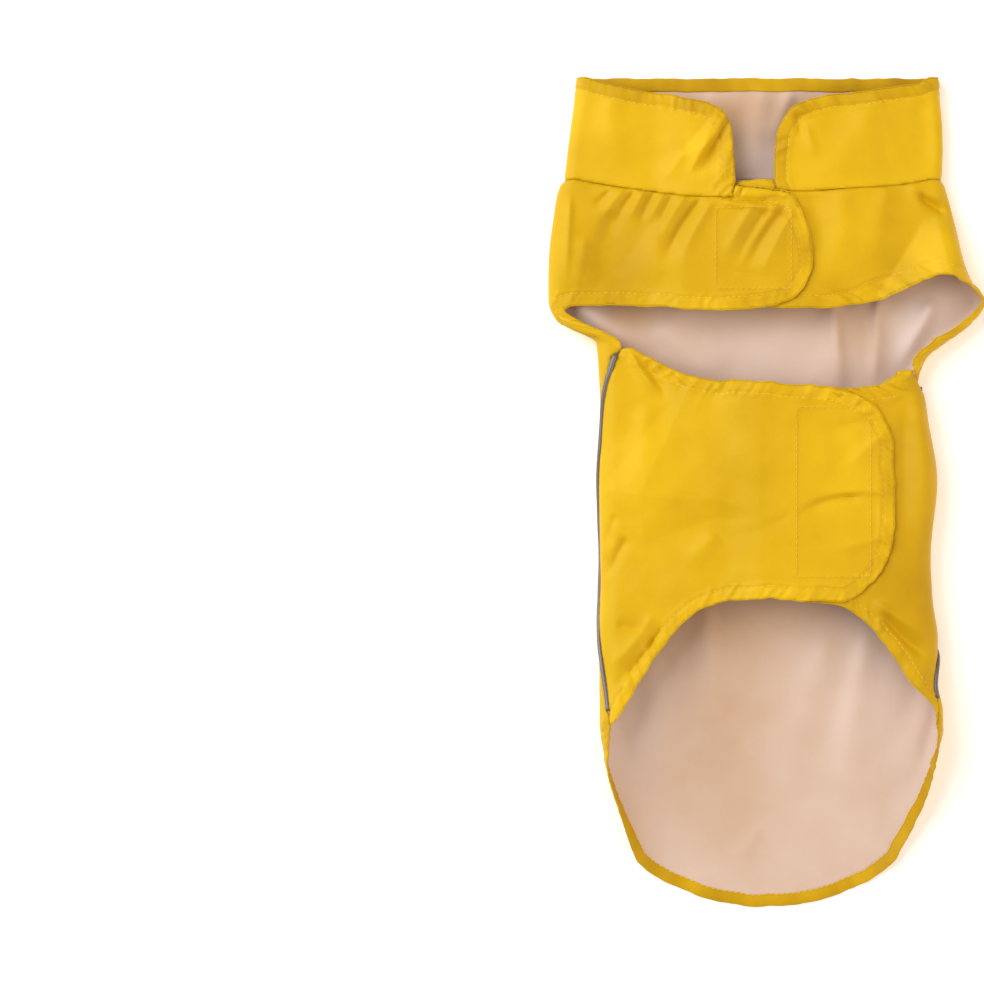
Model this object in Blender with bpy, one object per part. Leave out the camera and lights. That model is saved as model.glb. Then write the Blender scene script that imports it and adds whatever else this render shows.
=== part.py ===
"""Dog raincoat, laid flat on its back with the belly side up.

The coat is a flattened tube of coated cloth. Its back panel lies on the ground, wraps round both
sides at the shoulders and closes over the chest with a tab. Two belly panels are sewn to it along
piped seams and close over the belly with a second tab. Between chest and belly the tube is open for
the front legs, and below the belly it is arched away, so that the rounded tail lies open.

Every piece is cut flat in pattern space and then wrapped. A pattern point is (t, y): t runs round
the tube from the middle of the back, positive towards +X, and y runs up from the tail's edge.
depth is measured from the coat's outer face, positive towards the inside of the tube.
Sizes are in millimetres until a point is placed, and the model is in metres.
"""

import math
from bisect import bisect_right
from collections import namedtuple

import bmesh
import bpy

MM = 0.001

LENGTH = 457.0  # tail edge to collar edge, and the origin is at half of it
CLOTH = 1.2  # wall of a panel
GAP = 0.3  # between any two pieces
PATCH_CLOTH = 1.0
PIPING_RADIUS = 1.4
PIPING_GAP = 0.7  # round the coat, so that at least GAP is left where the cloth is sheared
PIPING_DEPTH = 0.2  # the cord's centre below the outer face
SLIT_LENGTH = 30.0
SLIT_WIDTH = 1.2
SLIT_MIDDLE = (1.6, 361.0)
OVERLAP_LIFT = CLOTH + 2 * PATCH_CLOTH + 3 * GAP  # the left panels over the right ones
LIFT_RUN = 20.0  # how far the cloth takes to climb by that much
LIFT_START = 38.0  # where it starts to climb, before the patches
LEG_Y = 310.0  # the chest is above this, and the belly below it
ARCH_Y = 169.0  # the tail lies open below this
EDGE_STEP = 6.0  # between the points of a cut edge
ROW_STEP = 12.0
SHOULDER_ROWS = (290, 350)  # where the rows lie twice as close
U_SCALE = 90.0  # makes a unit of u about as long as it is round the coat

# Cross-sections from the tail's edge to the collar's edge. left and right are the reach of the
# side folds from the middle line, radius is the fold's, crown is how far the belly side rises
# above the folds, and turn is the angle that the cloth curls through before it ends at its hem.
Section = namedtuple("Section", "y left right radius crown turn")
SECTIONS = [
    Section(0, 32, 32, 24, 0, 0),
    Section(7, 41, 41, 24, 0, 8),
    Section(15, 58, 59, 24, 0, 20),
    Section(26, 71, 71, 24, 0, 38),
    Section(48, 79.5, 82.5, 24, 0, 62),
    Section(70, 86.5, 90.5, 20, 0, 85),
    Section(87, 90, 94, 17, 0, 110),
    Section(101, 92, 97, 14.5, 0, 136),
    Section(108, 92, 97, 13.5, 0, 180),
    Section(125, 92, 94, 12.5, 1, 180),
    Section(147, 92.5, 94.5, 11.5, 2, 180),
    Section(169, 92, 91.5, 10.5, 3, 180),
    Section(190, 91.5, 90.5, 10, 4, 180),
    Section(235, 92.5, 94, 9.5, 4, 180),
    Section(268, 91.5, 88.5, 9, 4, 180),
    Section(290, 92, 81.5, 8.5, 3.5, 180),
    Section(301, 92.5, 86, 8.2, 3.2, 180),
    Section(311, 93.5, 95.5, 7.9, 3, 180),
    Section(317, 104, 105, 7.7, 3, 180),
    Section(322, 114, 111.5, 7.6, 3, 180),
    Section(328, 118.5, 118, 7.5, 3, 180),
    Section(334, 120.3, 120.7, 7.5, 3, 180),
    Section(345, 120.3, 113, 7.5, 3.2, 180),
    Section(378, 117.5, 103.5, 7.2, 3.4, 180),
    Section(389, 116, 100.5, 6.9, 2.8, 180),
    Section(397, 114, 98.5, 6.6, 2.2, 180),
    Section(401, 111.5, 97, 6.4, 2, 180),
    Section(420, 109, 97.5, 6, 1.5, 180),
    Section(457, 104, 95, 6, 1.5, 180),
]

# The piped seams between the back panel and the belly panels. Each column says where the seam is
# round the tube: 1 is where the side fold starts under the coat, and 2 is where it ends on top.
Seam = namedtuple("Seam", "y left right")
SEAMS = [
    Seam(104, 1.76, 1.70),
    Seam(115, 1.75, 1.68),
    Seam(126, 1.70, 1.63),
    Seam(136, 1.65, 1.52),
    Seam(147, 1.58, 1.24),
    Seam(169, 1.46, 0.98),
    Seam(202, 1.42, 0.87),
    Seam(235, 1.50, 0.84),
    Seam(252, 1.57, 0.90),
    Seam(268, 1.62, 1.02),
    Seam(282, 1.72, 1.28),
    Seam(290, 1.82, 1.55),
    Seam(296, 1.92, 1.86),
    Seam(309, 2.08, 2.02),
]

# Free edges on the belly side, as (x, y) seen from above. Left is -X.
Edge = namedtuple("Edge", "x y")
NECK_Y = 401.0  # the neck seam on the back
NECK_LEFT = [Edge(-100, 400), Edge(-66, 394.5), Edge(-38, 391.5), Edge(-18.4, 391)]
NECK_RIGHT = [Edge(4.8, 395), Edge(17, 394.5), Edge(44, 396), Edge(72, 398), Edge(86, 400)]
COLLAR_LEFT = [
    Edge(-94, 455), Edge(-71, 450), Edge(-49, 446.5), Edge(-34, 443.5), Edge(-25, 439),
    Edge(-20.5, 431), Edge(-18.4, 420), Edge(-18.2, 405), Edge(-18.4, 391.3),
]
COLLAR_RIGHT = [
    Edge(4.8, 395.3), Edge(4.6, 410), Edge(5.6, 424), Edge(9, 434), Edge(16, 442),
    Edge(30, 446.5), Edge(50, 449), Edge(86, 454),
]
WING_LEFT = [
    Edge(-17.2, 391), Edge(-17.2, 397.5), Edge(-5, 396), Edge(6, 394.3), Edge(14, 390.5), Edge(18.5, 382),
    Edge(22, 372), Edge(24.2, 361), Edge(24, 350), Edge(19.5, 340.5), Edge(9, 333.5),
    Edge(-6, 330), Edge(-24, 328.8), Edge(-56, 330.5), Edge(-88, 332), Edge(-108, 331.5),
]
WING_RIGHT = [
    Edge(3.6, 395), Edge(3.6, 401), Edge(-13, 397), Edge(-26, 392), Edge(-33, 384), Edge(-34.5, 362),
    Edge(-33, 343), Edge(-24, 334), Edge(-6, 331.5), Edge(20, 330), Edge(44, 331.5),
    Edge(64, 333.5), Edge(76, 337.5), Edge(86, 343.5), Edge(95, 346.5), Edge(104, 345),
]
ARMHOLE_LEFT = [Edge(-104, 324), Edge(-93, 318.5), Edge(-81, 311.5)]
BELLY_TOP_LEFT = [
    Edge(-76, 308.5), Edge(-68, 304.5), Edge(-57, 298.5), Edge(-43, 292.5), Edge(-24, 290),
    Edge(0, 289), Edge(24, 287),
]
BELLY_TOP_RIGHT = [Edge(24, 286.5), Edge(46, 286), Edge(62, 287.5), Edge(68, 290.5), Edge(73, 295.5)]
BELLY_TAB = [
    Edge(42, 284.5), Edge(55, 279.5), Edge(63.5, 270), Edge(68.5, 257), Edge(69.7, 240),
    Edge(69.6, 213), Edge(67.5, 198), Edge(61.5, 184), Edge(52, 174.5), Edge(42, 169),
]
BELLY_END_RIGHT = [Edge(6, 281), Edge(4, 262), Edge(4, 196), Edge(6, 176)]
ARCH_LEFT = [
    Edge(26, 169), Edge(0, 170.5), Edge(-20, 169.5), Edge(-34, 166), Edge(-45, 158.5),
    Edge(-55, 147), Edge(-64, 135), Edge(-72, 124), Edge(-78, 114), Edge(-82, 107),
]
ARCH_RIGHT = [
    Edge(20, 169), Edge(39, 167), Edge(50, 161), Edge(58.5, 153.5), Edge(67, 142),
    Edge(75, 130), Edge(83, 120), Edge(91, 112.5),
]
TIP_LEFT = (1.93, 329.0)  # the ends of the leg opening, in the same places as in SEAMS
TIP_RIGHT = (1.66, 333.5)
ARMHOLE_RIGHT = [(1.82, 326), (1.88, 317), (1.88, 309), (1.87, 302), (1.88, 297)]
TAIL_CORNER_Y = 101.0

# The closures' patches, as the box that each is cut to.
Patch = namedtuple("Patch", "name low_x high_x low_y high_y")
PATCHES = [Patch("chest", -27, 11, 341, 383), Patch("belly", 15, 57, 182, 276)]

# The largest folds: soft ridges on the belly side, and on the open tail of the back panel.
# Each runs between two points, and half is its half width.
Ridge = namedtuple("Ridge", "x0 y0 x1 y1 half height")
TOP_RIDGES = [
    Ridge(-70, 396, -104, 352, 8, 1.6),
    Ridge(-40, 390, -78, 342, 9, 1.8),
    Ridge(82, 394, 70, 346, 8, 1.8),
    Ridge(-36, 444, -56, 404, 7, 2.0),
    Ridge(-86, 282, -52, 218, 10, 1.6),
    Ridge(-74, 176, -84, 122, 9, 1.4),
    Ridge(78, 262, 84, 176, 9, 1.4),
]
TAIL_RIDGES = [Ridge(-38, 150, -20, 26, 13, 2.4), Ridge(34, 156, 52, 40, 12, 2.0)]


def smooth_at(xs, ys, x):
    """The value at x of a smooth curve through the points, with no overshoot between them."""
    if x <= xs[0]:
        return ys[0]
    if x >= xs[-1]:
        return ys[-1]
    k = bisect_right(xs, x) - 1

    def rise(i):
        return (ys[i + 1] - ys[i]) / (xs[i + 1] - xs[i])

    def slope(i):
        if i in (0, len(xs) - 1):
            return rise(min(i, len(xs) - 2))
        before, after = rise(i - 1), rise(i)
        return 0.0 if before * after <= 0 else 2 * before * after / (before + after)

    span = xs[k + 1] - xs[k]
    s = (x - xs[k]) / span
    return (
        ys[k] * (1 + 2 * s) * (1 - s) ** 2
        + slope(k) * span * s * (1 - s) ** 2
        + ys[k + 1] * s * s * (3 - 2 * s)
        + slope(k + 1) * span * s * s * (s - 1)
    )


def step_up(x):
    """0 below 0 and 1 above 1, with a smooth climb between."""
    x = min(1.0, max(0.0, x))
    return x * x * (3 - 2 * x)


def column(table, name):
    return [getattr(row, name) for row in table]


SECTION_Y = column(SECTIONS, "y")


def section(name, y):
    return smooth_at(SECTION_Y, column(SECTIONS, name), y)


def fold(side, y):
    """(length of the flat run from the middle line to the side fold, the fold's radius)."""
    radius = section("radius", y)
    turn = math.radians(min(90.0, section("turn", y)))
    return section("right" if side > 0 else "left", y) - radius * math.sin(turn), radius


def t_from_u(u, y):
    """u is 0 on the middle of the back, 1 and 2 at the fold's two ends, 3 on the belly's middle."""
    side = math.copysign(1.0, u)
    flat, radius = fold(side, y)
    u = abs(u)
    if u <= 1:
        return side * u * flat
    if u <= 2:
        return side * (flat + (u - 1) * math.pi * radius)
    return side * ((u - 1) * flat + math.pi * radius)


def u_from_t(t, y):
    side = math.copysign(1.0, t)
    flat, radius = fold(side, y)
    t = abs(t)
    if t <= flat:
        return side * t / flat
    if t <= flat + math.pi * radius:
        return side * (1 + (t - flat) / (math.pi * radius))
    return side * (1 + (t - math.pi * radius) / flat)


def ridges(table, x, y):
    """How far the folds of a table lift the cloth at a place."""
    total = 0.0
    for r in table:
        dx, dy = r.x1 - r.x0, r.y1 - r.y0
        length = math.hypot(dx, dy)
        along = ((x - r.x0) * dx + (y - r.y0) * dy) / length
        across = ((x - r.x0) * dy - (y - r.y0) * dx) / length
        ends = step_up(along / (0.35 * length)) * step_up((length - along) / (0.35 * length))
        total += r.height * ends * math.exp(-((across / r.half) ** 2))
    return total


def lift(side, x, y):
    """The left panels climb over the right ones where the two overlap."""
    if side > 0:
        return 0.0
    patch = PATCHES[0] if y > LEG_Y else PATCHES[1]
    fade = 1 - 0.5 * step_up((y - NECK_Y) / 50)
    return OVERLAP_LIFT * fade * step_up((x - patch.low_x + LIFT_START) / LIFT_RUN)


def seam_lift(t, y):
    """The back panel leaves the ground where the piping runs under it."""
    if y < SEAMS[0].y or y > SEAMS[-1].y:
        return 0.0
    near = min(abs(t - seam_t(side, y)) for side in (-1, 1))
    return (PIPING_RADIUS - PIPING_DEPTH + 0.1) * step_up(1.6 - near / 10)


def outer_face(t, y):
    """The point of the coat's outer face at a pattern point, with z up from the ground."""
    side = math.copysign(1.0, t)
    flat, radius = fold(side, y)
    t = abs(t)
    if t <= flat:
        x = side * t
        rise = ridges(TAIL_RIDGES, x, y) * step_up((flat - t) / 12) if y < ARCH_Y else 0.0
        return x, y, seam_lift(x, y) + rise
    if t <= flat + math.pi * radius:
        angle = (t - flat) / radius
        share = 1 - angle / math.pi
        z = radius * (1 - math.cos(angle)) + share * seam_lift(side * t, y)
        return side * (flat + radius * math.sin(angle)), y, z
    inward = t - flat - math.pi * radius
    x = side * (flat - inward)
    left, right = fold(-1, y)[0], fold(1, y)[0]
    share = (2 * x + left - right) / (left + right)
    crown = section("crown", y) * math.cos(0.5 * math.pi * min(1.0, abs(share))) ** 2
    soft = ridges(TOP_RIDGES, x, y) * step_up(inward / 14)
    return x, y, 2 * radius + crown + soft + lift(side, x, y)


def place(t, y, depth):
    """The point in metres at a pattern point, depth millimetres inside the outer face."""
    d = 0.05
    here = outer_face(t, y)
    along_t = [(b - a) / (2 * d) for a, b in zip(outer_face(t - d, y), outer_face(t + d, y))]
    along_y = [(b - a) / (2 * d) for a, b in zip(outer_face(t, y - d), outer_face(t, y + d))]
    normal = [
        along_t[1] * along_y[2] - along_t[2] * along_y[1],
        along_t[2] * along_y[0] - along_t[0] * along_y[2],
        along_t[0] * along_y[1] - along_t[1] * along_y[0],
    ]
    size = math.sqrt(sum(n * n for n in normal))
    x, y, z = (p + depth * n / size for p, n in zip(here, normal))
    return x * MM, (y - LENGTH / 2) * MM, z * MM


def seam_t(side, y):
    u = smooth_at(column(SEAMS, "y"), column(SEAMS, "right" if side > 0 else "left"), y)
    return side * t_from_u(u, y) if u > 0 else 0.0


def top(side, x, y):
    """The pattern point of a place on the belly side, on the panel that wraps round that side."""
    flat, radius = fold(side, y)
    return side * (2 * flat + math.pi * radius - side * x), y


def spread(points, step=EDGE_STEP):
    """A smooth line through the points, resampled at about that step."""
    along = [0.0]
    for a, b in zip(points, points[1:]):
        along.append(along[-1] + math.dist(a, b))
    count = max(1, round(along[-1] / step))
    places = [along[-1] * i / count for i in range(count + 1)]
    xs, ys = [p[0] for p in points], [p[1] for p in points]
    return [(smooth_at(along, xs, s), smooth_at(along, ys, s)) for s in places]


def top_edge(side, edge):
    return [top(side, x, y) for x, y in spread(edge)]


def beside(line, distance):
    """The line at that distance to the right of a line of pattern points, looking along it."""
    moved = []
    for i, (t, y) in enumerate(line):
        before, after = line[max(0, i - 1)], line[min(len(line) - 1, i + 1)]
        dt, dy = after[0] - before[0], after[1] - before[1]
        size = math.hypot(dt, dy)
        moved.append((t + distance * dy / size, y - distance * dt / size))
    return moved


def seam_line(side):
    low, high = SEAMS[0].y, ARMHOLE_RIGHT[-1][1] if side > 0 else SEAMS[-1].y
    rows = round((high - low) / EDGE_STEP)
    heights = [low + (high - low) * i / rows for i in range(rows + 1)]
    return [(seam_t(side, y), y) for y in heights]


def seam_edge(side, away):
    """The cut edge beside a piped seam, up from the tail: away is 1 on the belly panel."""
    return beside(seam_line(side), side * away * (PIPING_RADIUS + PIPING_GAP))


def rim_t(side, y):
    """Where the tail's hem is, from the turn that the cloth makes there."""
    flat, radius = fold(side, y)
    return side * (flat + radius * math.radians(section("turn", y)))


def tail_edge():
    """The tail's edge from the +X corner round to the -X corner."""
    arc_y = SECTIONS[1].y
    arc_x = rim_t(1, arc_y)
    radius = (arc_x**2 + arc_y**2) / (2 * arc_y)
    heights = [TAIL_CORNER_Y + (arc_y - TAIL_CORNER_Y) * i / 14 for i in range(15)]
    right = [(rim_t(1, y), y) for y in heights]
    steps = [arc_x * (1 - 2 * i / 12) for i in range(1, 12)]
    end = [(t, radius - math.sqrt(radius**2 - t * t)) for t in steps]
    return right + end + [(rim_t(-1, y), y) for y in reversed(heights)]


def neck_line(offset):
    """The neck seam from the left front end, round the back, to the right front end."""
    left = top_edge(-1, NECK_LEFT[::-1])
    right = top_edge(1, NECK_RIGHT[::-1])
    back = [(t_from_u(u / 4, NECK_Y), NECK_Y) for u in range(-8, 9)]
    return [(t, y + offset) for t, y in left + back + right]


def fold_points(side, places):
    return [(side * t_from_u(u, y), y) for u, y in places]


def without_repeats(points, least=0.8):
    """The outline with points that nearly coincide left out."""
    kept = []
    for p in points:
        if not kept or math.dist(p, kept[-1]) > least:
            kept.append(p)
    while math.dist(kept[0], kept[-1]) <= least:
        kept.pop()
    return kept


# Cut edges that a hem follows, each in one direction.
def wing_chain(side):
    """From the neck, round the chest tab and along the leg opening to the piped seam."""
    if side < 0:
        return (
            top_edge(-1, WING_LEFT)
            + fold_points(-1, [TIP_LEFT])
            + top_edge(-1, ARMHOLE_LEFT)
        )
    return top_edge(1, WING_RIGHT) + fold_points(1, [TIP_RIGHT] + ARMHOLE_RIGHT)


def belly_chain(side):
    """From the piped seam along the leg opening, round the belly tab and down the arch."""
    if side < 0:
        edge = BELLY_TOP_LEFT + BELLY_TAB + ARCH_LEFT
        return top_edge(-1, edge)
    edge = BELLY_TOP_RIGHT[::-1] + BELLY_END_RIGHT + ARCH_RIGHT
    return top_edge(1, edge)


def collar_chain():
    """From the left front end at the neck, over the collar's edge, to the right front end."""
    back = [(t_from_u(u / 4, LENGTH), LENGTH) for u in range(-8, 9)]
    return top_edge(-1, COLLAR_LEFT[::-1]) + back + top_edge(1, COLLAR_RIGHT[::-1])


def back_outline():
    neck = neck_line(-GAP / 2)
    right_seam, left_seam = seam_edge(1, -1), seam_edge(-1, -1)
    return (
        neck
        + wing_chain(1)
        + right_seam[::-1]
        + tail_edge()
        + left_seam
        + wing_chain(-1)[::-1]
    )


def collar_outline():
    return neck_line(GAP / 2)[::-1] + collar_chain()


def belly_outline(side):
    return seam_edge(side, 1) + belly_chain(side)


def new_object(name, mesh, material):
    made = bpy.data.objects.new(name, mesh)
    bpy.context.collection.objects.link(made)
    mesh.materials.append(material)
    return made


def material(name, colour, roughness):
    made = bpy.data.materials.new(name)
    made.use_nodes = True
    shader = made.node_tree.nodes["Principled BSDF"]
    shader.inputs["Base Color"].default_value = (*colour, 1)
    shader.inputs["Roughness"].default_value = roughness
    shader.inputs["Metallic"].default_value = 0.0
    return made


def slab(name, outline, near, far, finish):
    """Cuts an outline from flat cloth, scores it into small faces and wraps it round the coat.

    It is cut in (u, y), so that the scores follow the side folds. near and far are the depths of
    its two faces."""
    bm = bmesh.new()
    outline = without_repeats([(u_from_t(t, y) * U_SCALE, y) for t, y in outline])
    bm.faces.new([bm.verts.new((u, y, 0)) for u, y in outline])
    flats = [0.25 * k for k in range(-4, 5)]
    turns = [1 + 0.2 * k for k in range(1, 6)]
    tops = [2 + 0.16 * k for k in range(1, 12)]
    for u in flats + turns + tops + [-v for v in turns + tops]:
        score(bm, (u * U_SCALE, 0, 0), (1, 0, 0))
    y = ROW_STEP
    while y < LENGTH:
        score(bm, (0, y, 0), (0, 1, 0))
        y += ROW_STEP / 2 if SHOULDER_ROWS[0] < y < SHOULDER_ROWS[1] else ROW_STEP
    bmesh.ops.remove_doubles(bm, verts=bm.verts[:], dist=0.3)
    raised = bmesh.ops.extrude_face_region(bm, geom=bm.faces[:], use_keep_orig=True)
    for item in raised["geom"]:
        if isinstance(item, bmesh.types.BMVert):
            item.co.z = 1.0
    bmesh.ops.triangulate(bm, faces=bm.faces[:])
    bmesh.ops.recalc_face_normals(bm, faces=bm.faces[:])
    for v in bm.verts:
        u, y, share = v.co
        v.co = place(t_from_u(u / U_SCALE, y), y, near + share * (far - near))
    mesh = bpy.data.meshes.new(name)
    bm.to_mesh(mesh)
    bm.free()
    mesh.shade_smooth()
    mesh.set_sharp_from_angle(angle=math.radians(50))
    return new_object(name, mesh, finish)


def score(bm, point, direction):
    everything = bm.verts[:] + bm.edges[:] + bm.faces[:]
    bmesh.ops.bisect_plane(bm, geom=everything, dist=1e-4, plane_co=point, plane_no=direction)


def piping(name, side, finish):
    """The cord in a piped seam, as a bevelled curve through the seam's own points."""
    line = seam_line(side)[1:-1]
    curve = bpy.data.curves.new(name, "CURVE")
    curve.dimensions = "3D"
    curve.bevel_depth = PIPING_RADIUS * MM
    curve.bevel_resolution = 2
    curve.use_fill_caps = True
    spline = curve.splines.new("POLY")
    spline.points.add(len(line) - 1)
    for point, (t, y) in zip(spline.points, line):
        point.co = (*place(t, y, PIPING_DEPTH), 1)
    return new_object(name, curve, finish)


def patch_outline(side, patch):
    corners = [
        (patch.low_x, patch.low_y), (patch.high_x, patch.low_y),
        (patch.high_x, patch.high_y), (patch.low_x, patch.high_y),
    ]
    line = []
    for a, b in zip(corners, corners[1:] + corners[:1]):
        count = max(1, round(math.dist(a, b) / (3 * EDGE_STEP)))
        for i in range(count):
            x = a[0] + (b[0] - a[0]) * i / count
            y = a[1] + (b[1] - a[1]) * i / count
            line.append(top(side, x, y))
    return line


def cut_slit(panel):
    """The slit for a lead, on the middle of the back below the neck."""
    x, y = SLIT_MIDDLE
    bpy.ops.mesh.primitive_cube_add(size=MM, location=(x * MM, (y - LENGTH / 2) * MM, 0))
    cutter = bpy.context.object
    cutter.name = "slit_cutter"
    cutter.scale = (SLIT_WIDTH, SLIT_LENGTH, 6 * CLOTH)
    cutter.hide_render = True
    cutter.display_type = "WIRE"
    cut = panel.modifiers.new("slit", "BOOLEAN")
    cut.operation = "DIFFERENCE"
    cut.object = cutter


def build():
    for old in list(bpy.data.objects):
        bpy.data.objects.remove(old)
    shell = material("coated_yellow_cloth", (0.83, 0.49, 0.02), 0.5)
    cord = material("reflective_grey_piping", (0.32, 0.29, 0.26), 0.45)
    tape = material("hook_and_loop_tape", (0.75, 0.45, 0.05), 0.9)

    panel = slab("back_panel", back_outline(), 0.0, CLOTH, shell)
    cut_slit(panel)
    slab("collar", collar_outline(), 0.0, CLOTH, shell)
    slab("left_belly_panel", belly_outline(-1), 0.0, CLOTH, shell)
    slab("right_belly_panel", belly_outline(1), 0.0, CLOTH, shell)
    piping("left_piping", -1, cord)
    piping("right_piping", 1, cord)
    for patch in PATCHES:
        inside, outside = CLOTH + GAP, -GAP
        slab(patch.name + "_hook_patch", patch_outline(-1, patch), inside, inside + PATCH_CLOTH, tape)
        slab(patch.name + "_loop_patch", patch_outline(1, patch), outside - PATCH_CLOTH, outside, tape)


build()
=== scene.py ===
# %% [markdown]
# # A dog raincoat, laid out on its back
#
# The coat is a flattened tube of coated polyester. Its back panel lies on the table, wraps round
# both sides at the shoulders and closes over the chest. Two belly panels close over the belly, and
# below them the rounded tail lies open. The frame holds its solids at their real size, and this
# script makes the cloth that shows.

import math
from collections import namedtuple

import bpy
import numpy as np
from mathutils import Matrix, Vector, noise
from mathutils.geometry import delaunay_2d_cdt


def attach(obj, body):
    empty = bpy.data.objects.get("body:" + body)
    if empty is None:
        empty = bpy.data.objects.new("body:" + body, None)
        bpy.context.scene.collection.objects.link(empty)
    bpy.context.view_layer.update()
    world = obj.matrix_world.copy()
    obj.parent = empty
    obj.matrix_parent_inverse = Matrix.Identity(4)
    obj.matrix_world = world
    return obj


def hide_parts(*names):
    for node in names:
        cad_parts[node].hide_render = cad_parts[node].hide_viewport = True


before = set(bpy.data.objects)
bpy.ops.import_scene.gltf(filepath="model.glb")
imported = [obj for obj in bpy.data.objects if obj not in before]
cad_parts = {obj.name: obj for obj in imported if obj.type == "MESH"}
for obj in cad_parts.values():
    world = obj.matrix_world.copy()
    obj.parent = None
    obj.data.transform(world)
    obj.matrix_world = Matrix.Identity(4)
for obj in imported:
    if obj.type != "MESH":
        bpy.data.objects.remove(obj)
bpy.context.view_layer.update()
MM = 0.001
LENGTH = 457.0  # from the tail's edge to the collar's, in mm

# %% [markdown]
# ## Pattern space
#
# A garment is cut flat, so each piece here is flat too until the last moment. A pattern point is
# (t, y): t runs round the tube from the middle of the back, positive towards +X, and y runs up from
# the tail's edge, both in millimetres. A short table of cross-sections wraps the pattern round the
# coat. This way a hem, a stitch or a patch is placed on the flat cut, where a tailor would mark it,
# and it follows the cloth wherever that goes.

# %% The cross-sections
# left and right are the coat's half widths, radius is that of its side folds, crown is how much its
# top bulges, and the turns are how far each side curls up, in degrees: 180 closes the tube
Section = namedtuple("Section", "y left right radius crown turn_left turn_right")
SECTIONS = [
    Section(0, 32, 32, 24, 0, 0, 0),
    Section(7, 41, 41, 24, 0, 8, 8),
    Section(15, 58, 59, 24, 0, 24, 18),
    Section(26, 71, 71, 24, 0, 46, 34),
    Section(48, 79.5, 82.5, 24, 0, 76, 56),
    Section(70, 86.5, 90.5, 20, 0, 96, 80),
    Section(87, 90, 94, 17, 0, 122, 108),
    Section(101, 92, 97, 14.5, 0, 144, 136),
    Section(108, 92, 97, 13.5, 0, 180, 180),
    Section(125, 92, 94, 12.5, 1, 180, 180),
    Section(147, 92.5, 94.5, 11.5, 2, 180, 180),
    Section(169, 92, 91.5, 10.5, 3, 180, 180),
    Section(190, 91.5, 90.5, 10, 4, 180, 180),
    Section(235, 92.5, 94, 9.5, 4, 180, 180),
    Section(268, 91.5, 89.3, 9, 4, 180, 180),
    Section(281, 91.8, 87.3, 8.7, 3.8, 180, 180),
    Section(290, 92, 84, 8.5, 3.5, 180, 180),
    Section(301, 92.5, 87, 8.2, 3.2, 180, 180),
    Section(311, 93.5, 98, 7.9, 3, 180, 180),
    Section(317, 104, 107, 7.7, 3, 180, 180),
    Section(322, 114, 113, 7.6, 3, 180, 180),
    Section(328, 118.5, 118.3, 7.5, 3, 180, 180),
    Section(334, 120.3, 120.7, 7.5, 3, 180, 180),
    Section(345, 120.3, 113, 7.5, 3.2, 180, 180),
    Section(378, 117.5, 103.5, 7.2, 3.4, 180, 180),
    Section(389, 116, 100.5, 6.9, 2.8, 180, 180),
    Section(397, 114, 98.5, 6.6, 2.2, 180, 180),
    Section(401, 111.5, 97, 6.4, 2, 180, 180),
    Section(420, 109, 97.5, 6, 1.5, 180, 180),
    Section(457, 104, 95, 6, 1.5, 180, 180),
]
print(len(SECTIONS), "cross-sections")

# %% [markdown]
# ## Curves through a few points
#
# Between two rows of the table the shape has to run on smoothly. Straight lines would show as
# kinks, and a plain spline swings past its points where they crowd together. A monotone cubic
# curve does neither, so the same one serves for the sections and for every edge.

# %% A smooth curve through any table
def smooth(xs, ys, x):
    """A curve through the points, read at every x, with no overshoot between them."""
    xs, ys, x = (np.asarray(v, float) for v in (xs, ys, x))
    rise = np.diff(ys) / np.diff(xs)
    slope = np.concatenate([rise[:1], np.zeros(len(xs) - 2), rise[-1:]])
    before, after = rise[:-1], rise[1:]
    level = before * after <= 0
    slope[1:-1] = np.where(level, 0, 2 * before * after / np.where(level, 1, before + after))
    k = np.clip(np.searchsorted(xs, x, side="right") - 1, 0, len(xs) - 2)
    span = xs[k + 1] - xs[k]
    s = np.clip((x - xs[k]) / span, 0, 1)
    return (
        ys[k] * (1 + 2 * s) * (1 - s) ** 2
        + slope[k] * span * s * (1 - s) ** 2
        + ys[k + 1] * s * s * (3 - 2 * s)
        + slope[k + 1] * span * s * s * (s - 1)
    )


def step_up(x):
    """0 below 0 and 1 above 1, with a smooth climb between."""
    x = np.clip(x, 0, 1)
    return x * x * (3 - 2 * x)


def columns(table):
    """A table's columns as arrays, by name."""
    return {name: np.array([getattr(row, name) for row in table], float) for name in table[0]._fields}


SHAPE = columns(SECTIONS)


def shape_at(name, y):
    """One column of the cross-sections, read at any y."""
    return smooth(SHAPE["y"], SHAPE[name], y)


def by_side(side, left, right, y):
    """A shape column that has one value for each side of the coat."""
    return np.where(np.asarray(side) > 0, shape_at(right, y), shape_at(left, y))


print("half widths at the belly in mm:", shape_at("left", 235.0), shape_at("right", 235.0))

# %% [markdown]
# ## Wrapping the pattern
#
# Under the coat the cloth is flat. At each side it turns through a fold, as far as the hem where
# the tail curls up and right over where the tube is closed. On top it comes back towards the
# middle over a low crown. The left panels also climb over the right ones where they overlap.

# %% From pattern points to points in space
OVERLAP = 3.4  # how far the left panels lie above the right ones
LIFT_START, LIFT_RUN = 38.0, 20.0  # how far before its patch a tab begins to climb, and over what run
LEG_Y, NECK_Y = 310.0, 401.0  # the front of the leg opening, and the neck seam on the back


def side_of(t):
    """-1 on the left half of the pattern and 1 on the right half."""
    return np.where(t < 0, -1.0, 1.0)


def fold(side, y):
    """(length of the flat run from the middle line to the side fold, the fold's radius)."""
    radius = shape_at("radius", y)
    turn = np.radians(np.minimum(90, by_side(side, "turn_left", "turn_right", y)))
    return by_side(side, "left", "right", y) - radius * np.sin(turn), radius


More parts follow.
